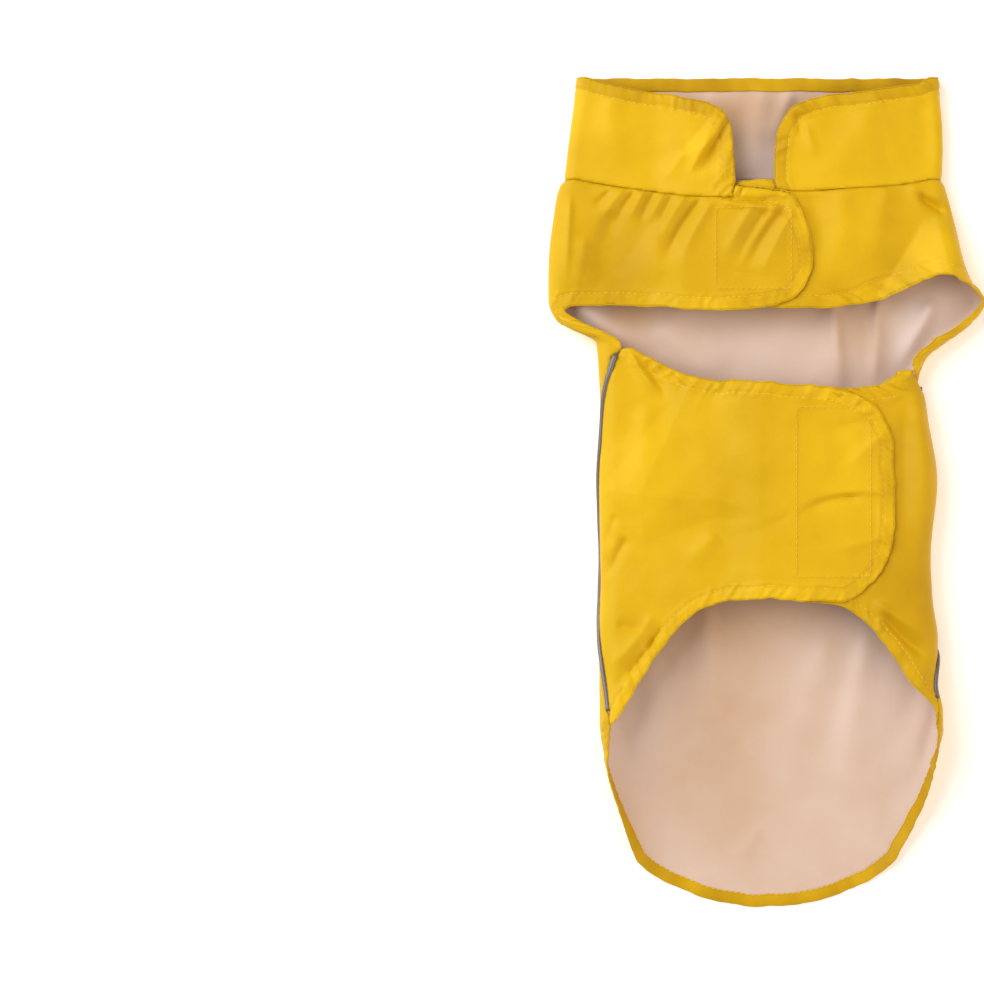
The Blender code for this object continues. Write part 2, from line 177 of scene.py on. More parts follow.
def form(t, y):
    """x, y, z of the coat's outer face with no creases, its turn so far, and its run on the top."""
    side = side_of(t)
    flat, radius = fold(side, y)
    run = np.abs(t)
    angle = np.clip((run - flat) / radius, 0, math.pi)
    inward = np.maximum(0, run - flat - math.pi * radius)
    x = side * (np.minimum(run, flat) + radius * np.sin(angle) - inward)
    left, right = fold(-1, y)[0], fold(1, y)[0]
    share = np.clip((2 * x + left - right) / (left + right), -1, 1)
    crown = shape_at("crown", y) * np.cos(0.5 * math.pi * share) ** 2
    z = radius * (1 - np.cos(angle)) + np.where(inward > 0, crown, 0)
    return np.stack([x, y, z], -1), angle, inward


def inward_normal(t, y):
    """The unit normal of the form, which points into the tube."""
    d = 0.2
    along_t = form(t + d, y)[0] - form(t - d, y)[0]
    along_y = form(t, y + d)[0] - form(t, y - d)[0]
    normal = np.cross(along_t, along_y)
    return normal / np.linalg.norm(normal, axis=-1, keepdims=True)


def top(side, x, y):
    """The pattern point of a place on the belly side, on the panel that wraps round that side."""
    flat, radius = fold(side, y)
    return np.stack([side * (2 * flat + math.pi * radius - side * x), y + 0 * x], -1)


def round_tube(side, u, y):
    """A pattern point from u: 1 where the side fold starts under the coat, and 2 where it ends."""
    flat, radius = fold(side, y)
    under, over = np.minimum(u, 1) * flat, np.maximum(u - 2, 0) * flat
    return np.stack([side * (under + np.clip(u - 1, 0, 1) * math.pi * radius + over), y + 0 * u], -1)


print("girth at the belly in mm:", round(2 * math.pi * fold(1, 235.0)[1] + 4 * fold(1, 235.0)[0]))

# %% [markdown]
# ## The cut edges
#
# Every edge is a few points and a smooth line through them. The belly side's are given as they are
# seen from above, (x, y), because that is how one would lay a tape on the coat. First comes the
# chest: the neck seam's two ends, the collar's fronts, the wings and the armhole between them.

# %% The edges of the chest
NECK_LEFT = [(-100, 400), (-66, 394.5), (-38, 391.5), (-18.4, 391)]
NECK_RIGHT = [(4.8, 395), (17, 394.5), (44, 396), (72, 398), (86, 400)]
COLLAR_LEFT = [
    (-94, 455), (-71, 450), (-49, 446.5), (-34, 443.5), (-25, 439), (-20.5, 431), (-18.4, 420),
    (-18.2, 405), (-18.4, 391.3),
]
COLLAR_RIGHT = [
    (4.8, 395.3), (4.6, 410), (5.6, 424), (9, 434), (16, 442), (30, 446.5), (50, 449), (86, 454),
]
WING_LEFT = [
    (-17.2, 391), (-17.2, 397.5), (-5, 396.2), (6, 394.6), (14, 391.5), (19.5, 382.5), (23, 372),
    (24.8, 361), (24, 350), (19.5, 340.5), (9, 333.5), (-6, 330), (-24, 328.8), (-56, 330.5),
    (-88, 332), (-108, 331.5),
]
WING_RIGHT = [
    (3.6, 395), (3.6, 401), (-12, 399.8), (-25, 395), (-33, 385), (-34.5, 362), (-33, 343),
    (-24, 334), (-6, 331.5), (20, 330), (44, 331.5), (63, 335), (75, 340.5), (86, 346),
    (95, 348.5), (104, 347.8),
]
ARMHOLE_LEFT = [(-104, 324), (-93, 318.5), (-81, 311.5)]
print("the left wing's edge has", len(WING_LEFT), "points, the right one's", len(WING_RIGHT))

# %% [markdown]
# ## The belly's edges and the side seams
#
# The belly panels' free edges run from the leg opening, round the tab on the left one, to the arch
# over the tail. The places that turn round the coat's side can't be seen from above. They are
# given as (u, y), where u goes from 1 to 2 through the side fold, and so are the curved seams.

# %% The edges of the belly, and the seams
BELLY_TOP_LEFT = [
    (-76, 308.5), (-68, 304.5), (-57, 298.5), (-43, 292.5), (-24, 290), (0, 289), (24, 287),
    (42, 284.5),
]
BELLY_TAB = [
    (42, 284.5), (55, 279.5), (63.5, 270), (68.5, 257), (69.7, 240), (69.6, 213), (67.5, 198),
    (61.5, 184), (52, 174.5), (42, 169),
]
BELLY_TOP_RIGHT = [(73, 295.5), (68, 290.5), (62, 287.5), (46, 286), (24, 286.5)]
BELLY_END_RIGHT = [(6, 281), (4, 262), (4, 196), (6, 176)]
ARCH_LEFT = [
    (26, 169), (0, 170.5), (-20, 169.5), (-34, 166), (-45, 158.5), (-55, 147), (-64, 135),
    (-71, 124), (-77, 114), (-81.5, 106), (-84.5, 102),
]
ARCH_RIGHT = [
    (20, 169), (39, 167), (50, 161), (58.5, 153.5), (67, 142), (75, 130), (83, 120), (91, 112.5),
]
TIP_LEFT = [(1.93, 329)]  # (u, y), as in the seams
TIP_RIGHT = [
    (1.66, 334.5), (1.83, 329), (1.95, 322), (1.99, 316), (1.98, 309), (1.92, 303), (1.88, 297),
]
TAIL_CORNER_Y = 101.0
SLIT_MIDDLE, SLIT_LENGTH, SLIT_WIDTH = (1.6, 361.0), 30.0, 1.2  # for the lead's ring

Seam = namedtuple("Seam", "y left right")
SEAMS = [
    Seam(101, 1.78, 1.72),
    Seam(115, 1.75, 1.68),
    Seam(126, 1.70, 1.63),
    Seam(136, 1.65, 1.52),
    Seam(147, 1.58, 1.24),
    Seam(169, 1.46, 0.98),
    Seam(202, 1.42, 0.87),
    Seam(235, 1.50, 0.84),
    Seam(252, 1.57, 0.90),
    Seam(268, 1.62, 1.02),
    Seam(282, 1.72, 1.28),
    Seam(290, 1.82, 1.55),
    Seam(296, 1.92, 1.86),
    Seam(309, 2.08, 2.02),
]
print(len(SEAMS), "points on each side seam")

# %% [markdown]
# ## Lines on the pattern
#
# The points become lines with equal steps, so that hems, stitches and triangles all get the same
# spacing. The tail's end is one arc through its lowest point, because a tailor would strike it
# with a string, and above it the edge follows the curled-up sides.

# %% Lines of pattern points
EDGE_STEP = 1.6  # mm


def gaps(line):
    """The length of each step of a line."""
    return np.linalg.norm(np.diff(line, axis=0), axis=1)


def runs(line):
    """How far along a line each of its points is."""
    return np.r_[0, np.cumsum(gaps(line))]


def equal_runs(line, step):
    """Distances along a line in equal steps, as near as they can be to the step asked for."""
    length = runs(line)[-1]
    return np.linspace(0, length, max(2, round(length / step) + 1))


def points_at(line, places):
    """The points at those distances along a line."""
    return np.stack([np.interp(places, runs(line), line[:, k]) for k in (0, 1)], -1)


def resample(line, step=EDGE_STEP):
    """The same line with points at equal steps along it, and none of them twice."""
    line = np.asarray(line, float)
    line = line[np.r_[True, gaps(line) > 1e-6]]
    return points_at(line, equal_runs(line, step))


def curve(points):
    """A smooth line through the points, in equal steps."""
    points = np.asarray(points, float)
    places = equal_runs(points, EDGE_STEP)
    return np.stack([smooth(runs(points), points[:, k], places) for k in (0, 1)], -1)


def top_line(side, points):
    """A smooth line through points that are given as seen from above."""
    line = curve(points)
    return top(side, line[:, 0], line[:, 1])


def seam_line(side):
    """The side seam from the tail's corner up to the leg opening."""
    rows = columns(SEAMS)
    high = TIP_RIGHT[-1][1] if side > 0 else SEAMS[-1].y
    y = np.arange(SEAMS[0].y, high, EDGE_STEP)
    u = smooth(rows["y"], rows["right" if side > 0 else "left"], y)
    return resample(round_tube(side, u, y))


def tail_line():
    """The tail's edge from the +X corner round to the -X corner."""
    arc_y = SECTIONS[1].y
    flat, radius = fold(1, arc_y)
    arc_t = flat + radius * math.radians(SECTIONS[1].turn_right)
    arc_radius = (arc_t**2 + arc_y**2) / (2 * arc_y)
    y = np.linspace(TAIL_CORNER_Y, arc_y, 60)
    rims = []
    for side in (1, -1):
        flat, radius = fold(side, y)
        turn = np.radians(by_side(side, "turn_left", "turn_right", y))
        rims.append(np.stack([side * (flat + radius * turn), y], -1))
    t = np.linspace(arc_t, -arc_t, 50)[1:-1]
    end = np.stack([t, arc_radius - np.sqrt(arc_radius**2 - t * t)], -1)
    return resample(np.concatenate([rims[0], end, rims[1][::-1]]))


def across_back(y, count):
    """A straight line over the back, from the end of one side fold to the end of the other."""
    t = np.linspace(-1, 1, count)
    t *= np.where(t < 0, abs(round_tube(-1, 2.0, y)[0]), round_tube(1, 2.0, y)[0])
    return np.stack([t, np.full(count, y)], -1)


def neck_line():
    """The neck seam from the left front end, round the back, to the right front end."""
    back = across_back(NECK_Y, 200)
    left, right = top_line(-1, NECK_LEFT[::-1]), top_line(1, NECK_RIGHT[::-1])
    return resample(np.concatenate([left, back, right]))


NECK = neck_line()
SEAM_LINES = {side: seam_line(side) for side in (-1, 1)}
print("the neck seam is", round(len(NECK) * EDGE_STEP), "mm long")

# %% [markdown]
# ## Free edges
#
# A free edge is several curves in a row, with its corners eased, because turned cloth can't make a
# sharp one. Its thread pulls it in here a little more than there, so it wavers by half a
# millimetre or so. A line beside another carries the stitches and both sides of every hem.

# %% Free edges, and lines beside a line
EASING_PASSES = 4


def rounded(line):
    """The line with its corners eased, its ends kept."""
    line = line.copy()
    for _ in range(EASING_PASSES):
        line[1:-1] += 0.5 * (0.5 * (line[:-2] + line[2:]) - line[1:-1])
    return line


def beside(line, distance):
    """The line at that distance to the right of a line of pattern points, looking along it."""
    step = np.gradient(line, axis=0)
    step /= np.maximum(np.linalg.norm(step, axis=1, keepdims=True), 1e-9)
    return line + distance * np.stack([step[:, 1], -step[:, 0]], -1)


def tube_points(side, places):
    """Pattern points of places given as (u, y)."""
    return np.array([round_tube(side, float(u), float(y)) for u, y in places])


def chain(waver, *parts):
    """One line through the parts, which wavers a little because its stitches pull it in unevenly."""
    line = rounded(resample(np.concatenate(parts)))
    run = np.arange(len(line)) * EDGE_STEP
    short = [noise.noise(Vector((r / 5.5, waver, 0))) for r in run]
    long = [noise.noise(Vector((r / 14, waver, 3))) for r in run]
    pull = waver * (np.array(short) + np.array(long))
    ends = step_up(np.minimum(run, run[-1] - run) / 8)
    return beside(line, (pull * ends)[:, None])


WING_CHAINS = {
    -1: chain(0.7, top_line(-1, WING_LEFT[1:]), tube_points(-1, TIP_LEFT), top_line(-1, ARMHOLE_LEFT)),
    1: chain(0.65, top_line(1, WING_RIGHT[1:]), tube_points(1, TIP_RIGHT)),
}
BELLY_CHAINS = {
    -1: chain(0.9, top_line(-1, BELLY_TOP_LEFT + BELLY_TAB[1:] + ARCH_LEFT)),
    1: chain(0.8, top_line(1, BELLY_TOP_RIGHT + BELLY_END_RIGHT + ARCH_RIGHT)),
}
COLLAR_FRONTS = top_line(-1, COLLAR_LEFT[::-1]), top_line(1, COLLAR_RIGHT[::-1])
COLLAR_CHAIN = chain(0.5, COLLAR_FRONTS[0], across_back(LENGTH, 150), COLLAR_FRONTS[1])
TAIL_CHAIN = chain(0.6, tail_line())
HEM_LINES = [TAIL_CHAIN, COLLAR_CHAIN, *BELLY_CHAINS.values()]
print("hems in mm:", [round(EDGE_STEP * len(line)) for line in HEM_LINES])

# %% [markdown]
# ## The panels
#
# A panel is its outline, the hems along its free edges and the seams along its sewn ones. The
# edges at a seam almost touch, and the cloth dips into the seam there, as turned-in edges do. Beside
# the piping they stand apart by the cord's width, and close again where the cord ends.

# %% Outlines
# inside is 1 where the cloth is right of the line, and -1 where it is left of it
# tone is painted light and shade on the hem's band, deepest on the collar and the tail
Hem = namedtuple("Hem", "line inside width pucker tone")
Panel = namedtuple("Panel", "name outline hems seams seed")
NECK_GAP, SEAM_GAP, PIPING_CLEAR = 0.04, 0.08, 1.15  # from a seam's line to the cloth's edge
PIPING_TOP = {-1: 3.2, 1: 14.0}  # how far below the seam's top the piping ends
PIPING_END = {-1: 4.0, 1: 12.0}  # and how far above the tail's corner the gap for it begins
CLOSING = 6.0  # over how far that gap opens and closes
HEM = 6.6  # from the edge to its row of stitches


def seam_side(side, away):
    """The panel's edge beside the piping, which closes where the piping ends."""
    run = np.arange(len(SEAM_LINES[side])) * EDGE_STEP
    left = run[-1] - run - PIPING_TOP[side]
    piped = step_up((run - PIPING_END[side]) / CLOSING) * step_up((left + 0.5 * CLOSING) / CLOSING)
    clear = SEAM_GAP + (PIPING_CLEAR - SEAM_GAP) * piped
    return beside(SEAM_LINES[side], side * away * clear[:, None])


BACK = Panel(
    "back_panel",
    np.concatenate([
        NECK - (0, NECK_GAP),
        WING_CHAINS[1],
        seam_side(1, -1)[::-1],
        TAIL_CHAIN,
        seam_side(-1, -1),
        WING_CHAINS[-1][::-1],
    ]),
    [
        Hem(WING_CHAINS[1], 1, HEM, 1.3, 0.04),
        Hem(WING_CHAINS[-1], -1, HEM, 1.5, 0.04),
        Hem(TAIL_CHAIN, 1, 6.0, 0.9, -0.16),
    ],
    [NECK, *SEAM_LINES.values()],
    1,
)
COLLAR = Panel(
    "collar",
    np.concatenate([(NECK + (0, NECK_GAP))[::-1], COLLAR_CHAIN]),
    [Hem(COLLAR_CHAIN, 1, HEM, 1.2, -0.2)],
    [NECK],
    2,
)
BELLY = {
    side: Panel(
        name,
        np.concatenate([seam_side(side, 1), BELLY_CHAINS[side]]),
        [Hem(BELLY_CHAINS[side], inside, HEM, 1.7, 0.04)],
        [SEAM_LINES[side]],
        seed,
    )
    for side, name, inside, seed in [(-1, "left_belly_panel", -1, 3), (1, "right_belly_panel", 1, 4)]
}
PANELS = [BACK, COLLAR, BELLY[-1], BELLY[1]]
print("panels:", [panel.name for panel in PANELS])

# %% [markdown]
# ## The places of the tape patches
#
# Each closure is a patch of hook tape inside a tab and one of loop tape under it. The rows that
# sew the hook tape on show on the tab as a faint rectangle, so the places are needed before the
# cloth is laid: it rises a little along those rows.

# %% Where the tape patches go, and the row of stitches round each
Patch = namedtuple("Patch", "name low_x high_x low_y high_y row_inset")
PATCHES = [Patch("chest", -27, 12, 342, 384, -1.2), Patch("belly", 15, 57, 182, 276, 0.6)]
PATCH_ON = {"back_panel": PATCHES[0], "left_belly_panel": PATCHES[1]}


def patch_outline(side, patch, inset=0.0):
    """A patch's rectangle, on the panel that wraps round that side."""
    x0, x1 = patch.low_x + inset, patch.high_x - inset
    y0, y1 = patch.low_y + inset, patch.high_y - inset
    line = resample([(x0, y0), (x1, y0), (x1, y1), (x0, y1), (x0, y0)], 2.0)
    return top(side, line[:, 0], line[:, 1])


def patch_row(patch):
    """The row of stitches, which shows on the left panel that holds the hook tape."""
    return patch_outline(-1, patch, patch.row_inset)


print("patches in mm:", {p.name: (p.high_x - p.low_x, p.high_y - p.low_y) for p in PATCHES})

# %% [markdown]
# ## Creases
#
# Coated polyester is thin and springy: it holds a few long soft waves, sharper gathers where a seam
# pulls it in, and small puckers along every hem. The long ones are placed one by one, each as a ridge
# or a trough from one point to another as seen from above. Where stiff cloth buckles it makes flat
# faces with sharp ridges instead, so there the tool is a facet, a low pyramid. The rest is noise
# that never repeats.

# %% The creases on top
# height is positive for a ridge, lean makes one flank steeper, and bow bends the line sideways
Crease = namedtuple("Crease", "x0 y0 x1 y1 bow width height lean")
TOP_CREASES = [
    # the left wing's gathers, from the neck seam down to the left
    Crease(-87, 394.5, -96, 385, 0, 2.2, -1.8, 0.3),
    Crease(-79, 394.5, -91, 378, 1, 2.6, 1.7, 0.2),
    Crease(-73, 394.5, -84, 376, 1, 2.6, -2.5, 0.3),
    Crease(-68, 394.5, -76, 378, 0, 2.2, 1.7, 0.2),
    Crease(-62, 394, -70, 376, 1, 2.5, -2.3, 0.3),
    Crease(-57, 393, -66, 376, 0, 2.5, 1.6, 0.2),
    Crease(-52, 392.5, -60, 377, 0, 2.4, -1.9, 0.2),
    Crease(-45, 391, -59, 368, 1, 3.0, 1.9, 0.2),
    Crease(-37, 390, -57, 354, 2, 3.2, -3.3, 0.4),
    Crease(-30, 388, -48, 352, 2, 3.8, 2.2, 0.2),
    Crease(-60, 374, -66, 342, 0, 9.0, 2.5, 0.0),
    Crease(-84, 382, -92, 346, 2, 8.0, -2.5, 0.2),
    Crease(-108, 390, -111, 340, 0, 3.0, 2.5, -0.4),
    Crease(-100, 368, -106, 334, 0, 6.0, 1.8, -0.3),
    # the chest tab
    Crease(-8, 386, -24, 356, 1, 3.8, 2.0, 0.2),
    Crease(0.5, 386, -19, 352, 1, 4.0, -2.5, 0.3),
    Crease(5, 386, -16, 350, 1, 4.0, 2.1, 0.2),
    Crease(10.5, 387, -13, 347, 2, 4.3, -3.3, 0.3),
    Crease(13.5, 382, -4, 346, 1, 4.0, 2.1, 0.0),
    Crease(18, 386, 22, 360, -2, 2.4, 1.7, 0.3),
    Crease(-24, 352, 8, 346, 1, 3.0, -0.8, 0.0),
    # the right wing, with the flat bright face beside the armhole
    Crease(84, 393, 105, 382.5, 2, 3.4, -4.8, 0.0),
    Crease(78, 397, 104, 388, 1, 5.0, 1.7, 0.0),
    Crease(42, 396, 46, 352, 2, 10.0, 1.7, 0.0),
    Crease(24, 394, 30, 344, -2, 8.0, -2.0, 0.2),
    Crease(66, 396, 58, 350, 1, 8.0, 1.7, 0.0),
    # the collar's fronts
    Crease(-20, 435, -39, 401, 1, 2.4, -2.5, 0.4),
    Crease(-45, 416, -58, 398, 0, 4.0, 1.7, 0.0),
    Crease(-21, 416, -27, 397, 0, 5.0, 2.0, 0.0),
    Crease(-26, 438, -19, 431, 0, 1.6, -1.7, 0.0),
    Crease(16, 437, 20, 424, 0, 3.0, -2.5, 0.3),
    Crease(21, 432, 27, 412, 0, 4.0, 2.2, 0.2),
    Crease(60, 448, 52, 402, 2, 12.0, 2.2, 0.0),
    Crease(86, 444, 88, 404, 0, 8.0, -1.7, 0.0),
    Crease(-86, 446, -80, 404, 2, 10.0, 1.8, 0.0),
    # the left belly panel
    Crease(-75, 305, -58, 281, 1, 3.0, 2.8, 0.2),
    Crease(-70, 302, -54, 279, -1, 3.0, -3.1, 0.2),
    Crease(-60, 298, -42, 284, 0, 2.4, -2.2, 0.0),
    Crease(-50, 293, -38, 283, 0, 2.4, 1.7, 0.0),
    Crease(-66, 276, -70, 218, 1, 9.0, 2.5, 0.0),
    Crease(13, 217, -24, 203, -2, 5.0, -0.8, 0.3),
    Crease(-28, 205, -46, 186, 1, 7.0, 2.1, 0.2),
    Crease(-20, 284, -8, 226, 1, 12.0, 2.0, 0.0),
    Crease(-78, 203, -91, 180, 0, 3.4, -2.8, 0.2),
    Crease(-84, 216, -91, 196, 0, 3.0, -1.8, 0.2),
    Crease(-82, 156, -64, 152, 0, 4.0, -2.0, 0.0),
    Crease(-58, 155, -87, 120, -2, 3.0, -3.6, -0.4),
    Crease(-64, 160, -90, 130, -2, 4.0, 2.1, 0.2),
    # the belly tab
    Crease(68, 228, 14, 218, 5, 3.4, 1.5, -0.5),
    Crease(50, 226, 14, 214, 4, 3.8, -2.7, 0.4),
    Crease(66, 262, 42, 240, 1, 5.0, 2.0, 0.2),
    Crease(60, 268, 30, 262, 1, 4.0, -1.5, 0.0),
    Crease(62, 204, 36, 196, 0, 5.0, 1.7, 0.0),
    # the right belly panel
    Crease(64, 161, 96, 133, 2, 4.5, -4.2, 0.4),
    Crease(60, 168, 92, 148, 1, 5.0, 2.8, 0.0),
    Crease(82, 280, 86, 200, -2, 7.0, 2.2, 0.0),
    Crease(75, 268, 77, 196, 1, 5.0, -2.0, 0.0),
]
print(len(TOP_CREASES), "creases on top")

# %% The creases of the back panel, as seen inside the coat
# only a lift off the table shows, so all of them are ridges
BACK_CREASES = [
    Crease(37, 340, 41, 280, 0, 6.5, 5.0, -0.5),
    Crease(62, 338, 60, 284, 0, 4.5, 3.2, 0.5),
    Crease(92, 334, 72, 294, 0, 6.0, 4.0, 0.2),
    Crease(-106, 333, -66, 302, -1, 9.0, 5.0, 0.3),
    Crease(-60, 320, -20, 292, 1, 12.0, 2.5, 0.4),
    Crease(94, 122, 76, 60, 0, 9.0, 4.5, 0.0),
    Crease(34, 150, 12, 60, 2, 12.0, 3.0, 0.2),
    Crease(-34, 168, -26, 70, -2, 10.0, 2.4, -0.3),
    Crease(-64, 140, -52, 44, 2, 11.0, 1.2, 0.2),
    Crease(56, 150, 44, 44, 3, 9.0, 2.4, 0.3),
    Crease(-4, 43, -20, 25, -2, 5.0, 1.0, 0.3),
    Crease(14, 450, 2, 420, 0, 6.0, 2.5, 0.0),
    Crease(0, 452, -14, 398, 0, 9.0, 2.0, 0.2),
    Crease(-30, 450, -24, 404, 0, 6.0, 1.2, 0.0),
]
print(len(BACK_CREASES), "creases below")

# %% [markdown]
# ## The height of the creases at a place
#
# A crease is a bell across its line, sharp if it is narrow and round if it is wide. It widens and
# bows on its way, and fades in at its start and out past its end.

# %% Adding up creases
def crease_sum(table, x, y):
    """How far the creases of a table lift the cloth at each place, in mm."""
    total = np.zeros_like(x)
    for c in table:
        dx, dy = c.x1 - c.x0, c.y1 - c.y0
        length = math.hypot(dx, dy)
        share = ((x - c.x0) * dx + (y - c.y0) * dy) / length**2
        across = ((x - c.x0) * dy - (y - c.y0) * dx) / length
        inside = np.clip(share, 0, 1)
        across = (across - 4 * c.bow * inside * (1 - inside)) / (c.width * (0.6 + 0.7 * inside))
        across = np.abs(across) / np.where(across > 0, 1 - 0.6 * c.lean, 1 + 0.6 * c.lean)
        # it fades in over its first eighth, and out over its second half
        ends = step_up(share / 0.2 + 0.4) * step_up((1.05 - share) / 0.5)
        sharpness = np.interp(c.width, (4, 9), (1.35, 1.9))  # 1 would be a ridge, and 2 is a round bell
        total += c.height * ends * np.exp(-(across**sharpness))
    return total


middle = crease_sum(TOP_CREASES, np.array([4.0]), np.array([366.0]))
print("the creases' height in the middle of the chest tab in mm:", middle.round(2))

# %% Facets
# flat faces from a peak down to the corners round it, which stay level
Facet = namedtuple("Facet", "peak height corners")
FACETS = [
    Facet((101, 346), 12.0, [(93, 384), (59, 330), (104, 322), (117, 340), (107, 377)]),
    Facet((66, 344), -3.6, [(91, 385), (44, 376), (30, 336), (60, 326), (72, 344)]),
    Facet(
        (-34.5, 418), 6.0,
        [(-29, 437), (-47.5, 414.7), (-41.5, 401.5), (-38, 402), (-25.9, 425.7), (-19.5, 434.5)],
    ),
    Facet((-70, 227), 3.6, [(-37, 298), (-92, 230), (-68, 200), (-10, 222)]),
    Facet((-30, 214), -1.4, [(-50, 232), (-52, 204), (-22, 196), (4, 214)]),
    Facet((-78, 356), -2.6, [(-60, 380), (-92, 386), (-98, 340), (-62, 334)]),
    Facet((66, 190), 2.4, [(78, 214), (60, 226), (56, 172), (84, 160), (88, 190)]),
]


def facet_sum(x, y):
    """The height of the facets at each place: the lowest of the planes through peak and rim."""
    total = np.zeros_like(x)
    for facet in FACETS:
        rise = np.full_like(x, np.inf)
        for (ax, ay), (bx, by) in zip(facet.corners, facet.corners[1:] + facet.corners[:1]):
            full = (bx - ax) * (facet.peak[1] - ay) - (by - ay) * (facet.peak[0] - ax)
            rise = np.minimum(rise, ((bx - ax) * (y - ay) - (by - ay) * (x - ax)) / full)
        total += facet.height * np.maximum(0, rise)
    return total


print(len(FACETS), "facets")

# %% Noise for what is left
def noise_at(x, y, scale, seed):
    """Smooth noise between about -1 and 1, whose bumps are about scale millimetres across."""
    flat = zip((x / scale).ravel(), (y / scale).ravel())
    values = [noise.noise(Vector((a, b, seed))) for a, b in flat]
    return np.array(values).reshape(np.shape(x)) * 1.6


def crumple(x, y, seed):
    """Low waves, with a few sharp lines where the cloth was folded before."""
    warp = 6 * noise_at(x, y, 45, seed + 0.5)
    waves = 0.8 * noise_at(x + warp, y, 32, seed + 0.1) + 0.26 * noise_at(x, y + warp, 12, seed + 0.2)
    lines = 0.35 - np.abs(noise_at(x - warp, y + warp, 46, seed + 0.3))
    return waves + 1.3 * np.maximum(lines, 0) + 0.05 * noise_at(x, y, 5, seed + 0.4)


print("a place's crumple in mm:", crumple(np.array([10.0]), np.array([230.0]), 1).round(2))

# %% [markdown]
# ## Laying the cloth
#
# Each pattern point is wrapped and then moved along the cloth's normal: by the creases, by the
# hem it lies in and by the seam beside it. So the first tool is the distance from a point to a
# line, and the place on the line that is nearest.

# %% Distances to lines
CLOTH = 0.4  # the sheets' thickness, a little over the real cloth's
FAR = 99.0  # a distance beyond the reach of any hem or seam


def along(points, line):
    """For each point, its distance from the line and how far along the line it is nearest."""
    points = np.asarray(points, float)
    best = np.full(len(points), np.inf)
    where = np.zeros(len(points))
    coarse = line[::2] if len(line) > 40 else line
    run = 0.0
    for a, b in zip(coarse, coarse[1:]):
        step = b - a
        size = math.hypot(*step)
        if size < 1e-9:
            continue
        share = np.clip((points - a) @ step / size**2, 0, 1)
        apart = np.linalg.norm(points - a - share[:, None] * step, axis=1)
        nearer = apart < best
        best[nearer] = apart[nearer]
        where[nearer] = run + share[nearer] * size
        run += size
    return best, where


print("from the belly's middle to the neck seam in mm:", along([(0.0, 235.0)], NECK)[0].round(1))

# %% [markdown]
# ## Hems that pucker
#
# A turned hem is stiffer than the cloth, so it stands a little proud as far as its stitches. The
# thread sinks into a groove, with a small ridge beyond it, and pulls the hem into puckers that
# slant across it, some of them sharp. They come in groups, as the feed of a sewing machine makes
# them, so slow noise decides where they are strong.

# %% The relief of the hems
HEM_STANDS, GROOVE, RIDGE = 0.36, 0.55, 0.42  # mm


def bell(distance, width):
    """1 at the middle, and nearly 0 at twice the width."""
    return np.exp(-((distance / width) ** 2))


def hem_relief(apart, where, hem, seed):
    """How far a hem stands out, from the distance to its edge and the run along it."""
    total = np.zeros_like(apart)
    near = apart < hem.width + 9
    a, w = apart[near], where[near]
    # the doubled cloth stands out as far as its stitches, with a groove and a ridge at them
    band = HEM_STANDS * (1 - step_up((a - hem.width + 0.9) / 1.3))
    sewn = RIDGE * bell(a - hem.width - 1.1, 0.8) - GROOVE * bell(a - hem.width + 0.3, 0.6)
    # round and sharp puckers run across it on a slant, strong in some places and weak in others
    slant = w + 0.6 * a
    ripple = noise_at(slant, 0.3 * a, 3.4, seed + 7.1)
    pinch = 0.5 - 1.6 * np.abs(noise_at(slant + 90, 0.12 * a, 6.5, seed + 9.7))
    groups = 0.4 + 1.3 * np.maximum(0, noise_at(w, 0 * w, 24, seed + 8.3))
    strength = (1 + 0.8 * bell(w, 40)) * hem.pucker * groups
    reach = bell(np.maximum(0, a - 4.5), 3.6) * step_up(0.45 + a / 4)
    waves = strength * (0.5 * ripple + 0.9 * np.maximum(pinch, -0.3)) * reach
    total[near] = band + sewn + np.clip(waves, -0.5, 1.5)
    if hem.line is WING_CHAINS[-1]:
        total *= step_up((where - 26) / 12)  # its start is rolled over instead
    return total


def notch_roll(apart, where):
    """The left wing's hem rolls over on itself where it crosses the gap in the collar."""
    taper = 1 - 0.55 * step_up((where - 12) / 22)
    roll = np.maximum(0, 1 - ((apart / taper - 3.2) / 3.2) ** 2) ** 0.5
    pinch = 1 - 0.8 * bell(where - 5 - 0.3 * apart, 1.1)
    under = -1.8 * bell(apart / taper - 7.6, 1.0)
    below = 1.2 * bell(apart - 9.8, 1.5) - 0.8 * bell(apart - 12.6, 1.2)
    ends = step_up((38 - where) / 8) * step_up(where / 3 + 0.3)
    return ends * (3.0 * taper * roll * pinch + under + below)


print("a hem's height at its stitches in mm:", round(HEM_STANDS - GROOVE, 2))

# %% [markdown]
# ## Seams, tabs and the table
#
# At a seam the cloth dips between its turned-in edges, and the cord in a side seam holds the back
# panel off the table. A tab lies over the other side's panel, and past its patch it sinks towards
# it. All of this adds up in one function, and lay() turns it into places in metres.

# %% From the pattern to the laid cloth
def tab_settle(apart, x, y):
    """Past its patch a tab sinks towards the panel under it."""
    start = np.where(y > LEG_Y, -18, 22)  # the x of this on the chest tab and on the belly tab
    return 1 - 0.5 * step_up((x - start) / 12) * (1 - step_up((apart - 1) / 9))


def seam_lift(t, y):
    """The back panel leaves the table where the piping runs under it."""
    rows = columns(SEAMS)
    total = np.zeros_like(t)
    for side, name in ((-1, "left"), (1, "right")):
        seam = round_tube(side, smooth(rows["y"], rows[name], y), y)[:, 0]
        near = np.where((y > SEAMS[0].y) & (y < SEAMS[-1].y), np.abs(t - seam), FAR)
        total += 1.3 * step_up(1.6 - near / 10)
    return total


PATCH_RIDGE, NECK_DIP, SEAM_DIP = 0.32, 0.75, 0.8
TABLE_GAP = 0.33  # so that the stitches under the coat stay above the table


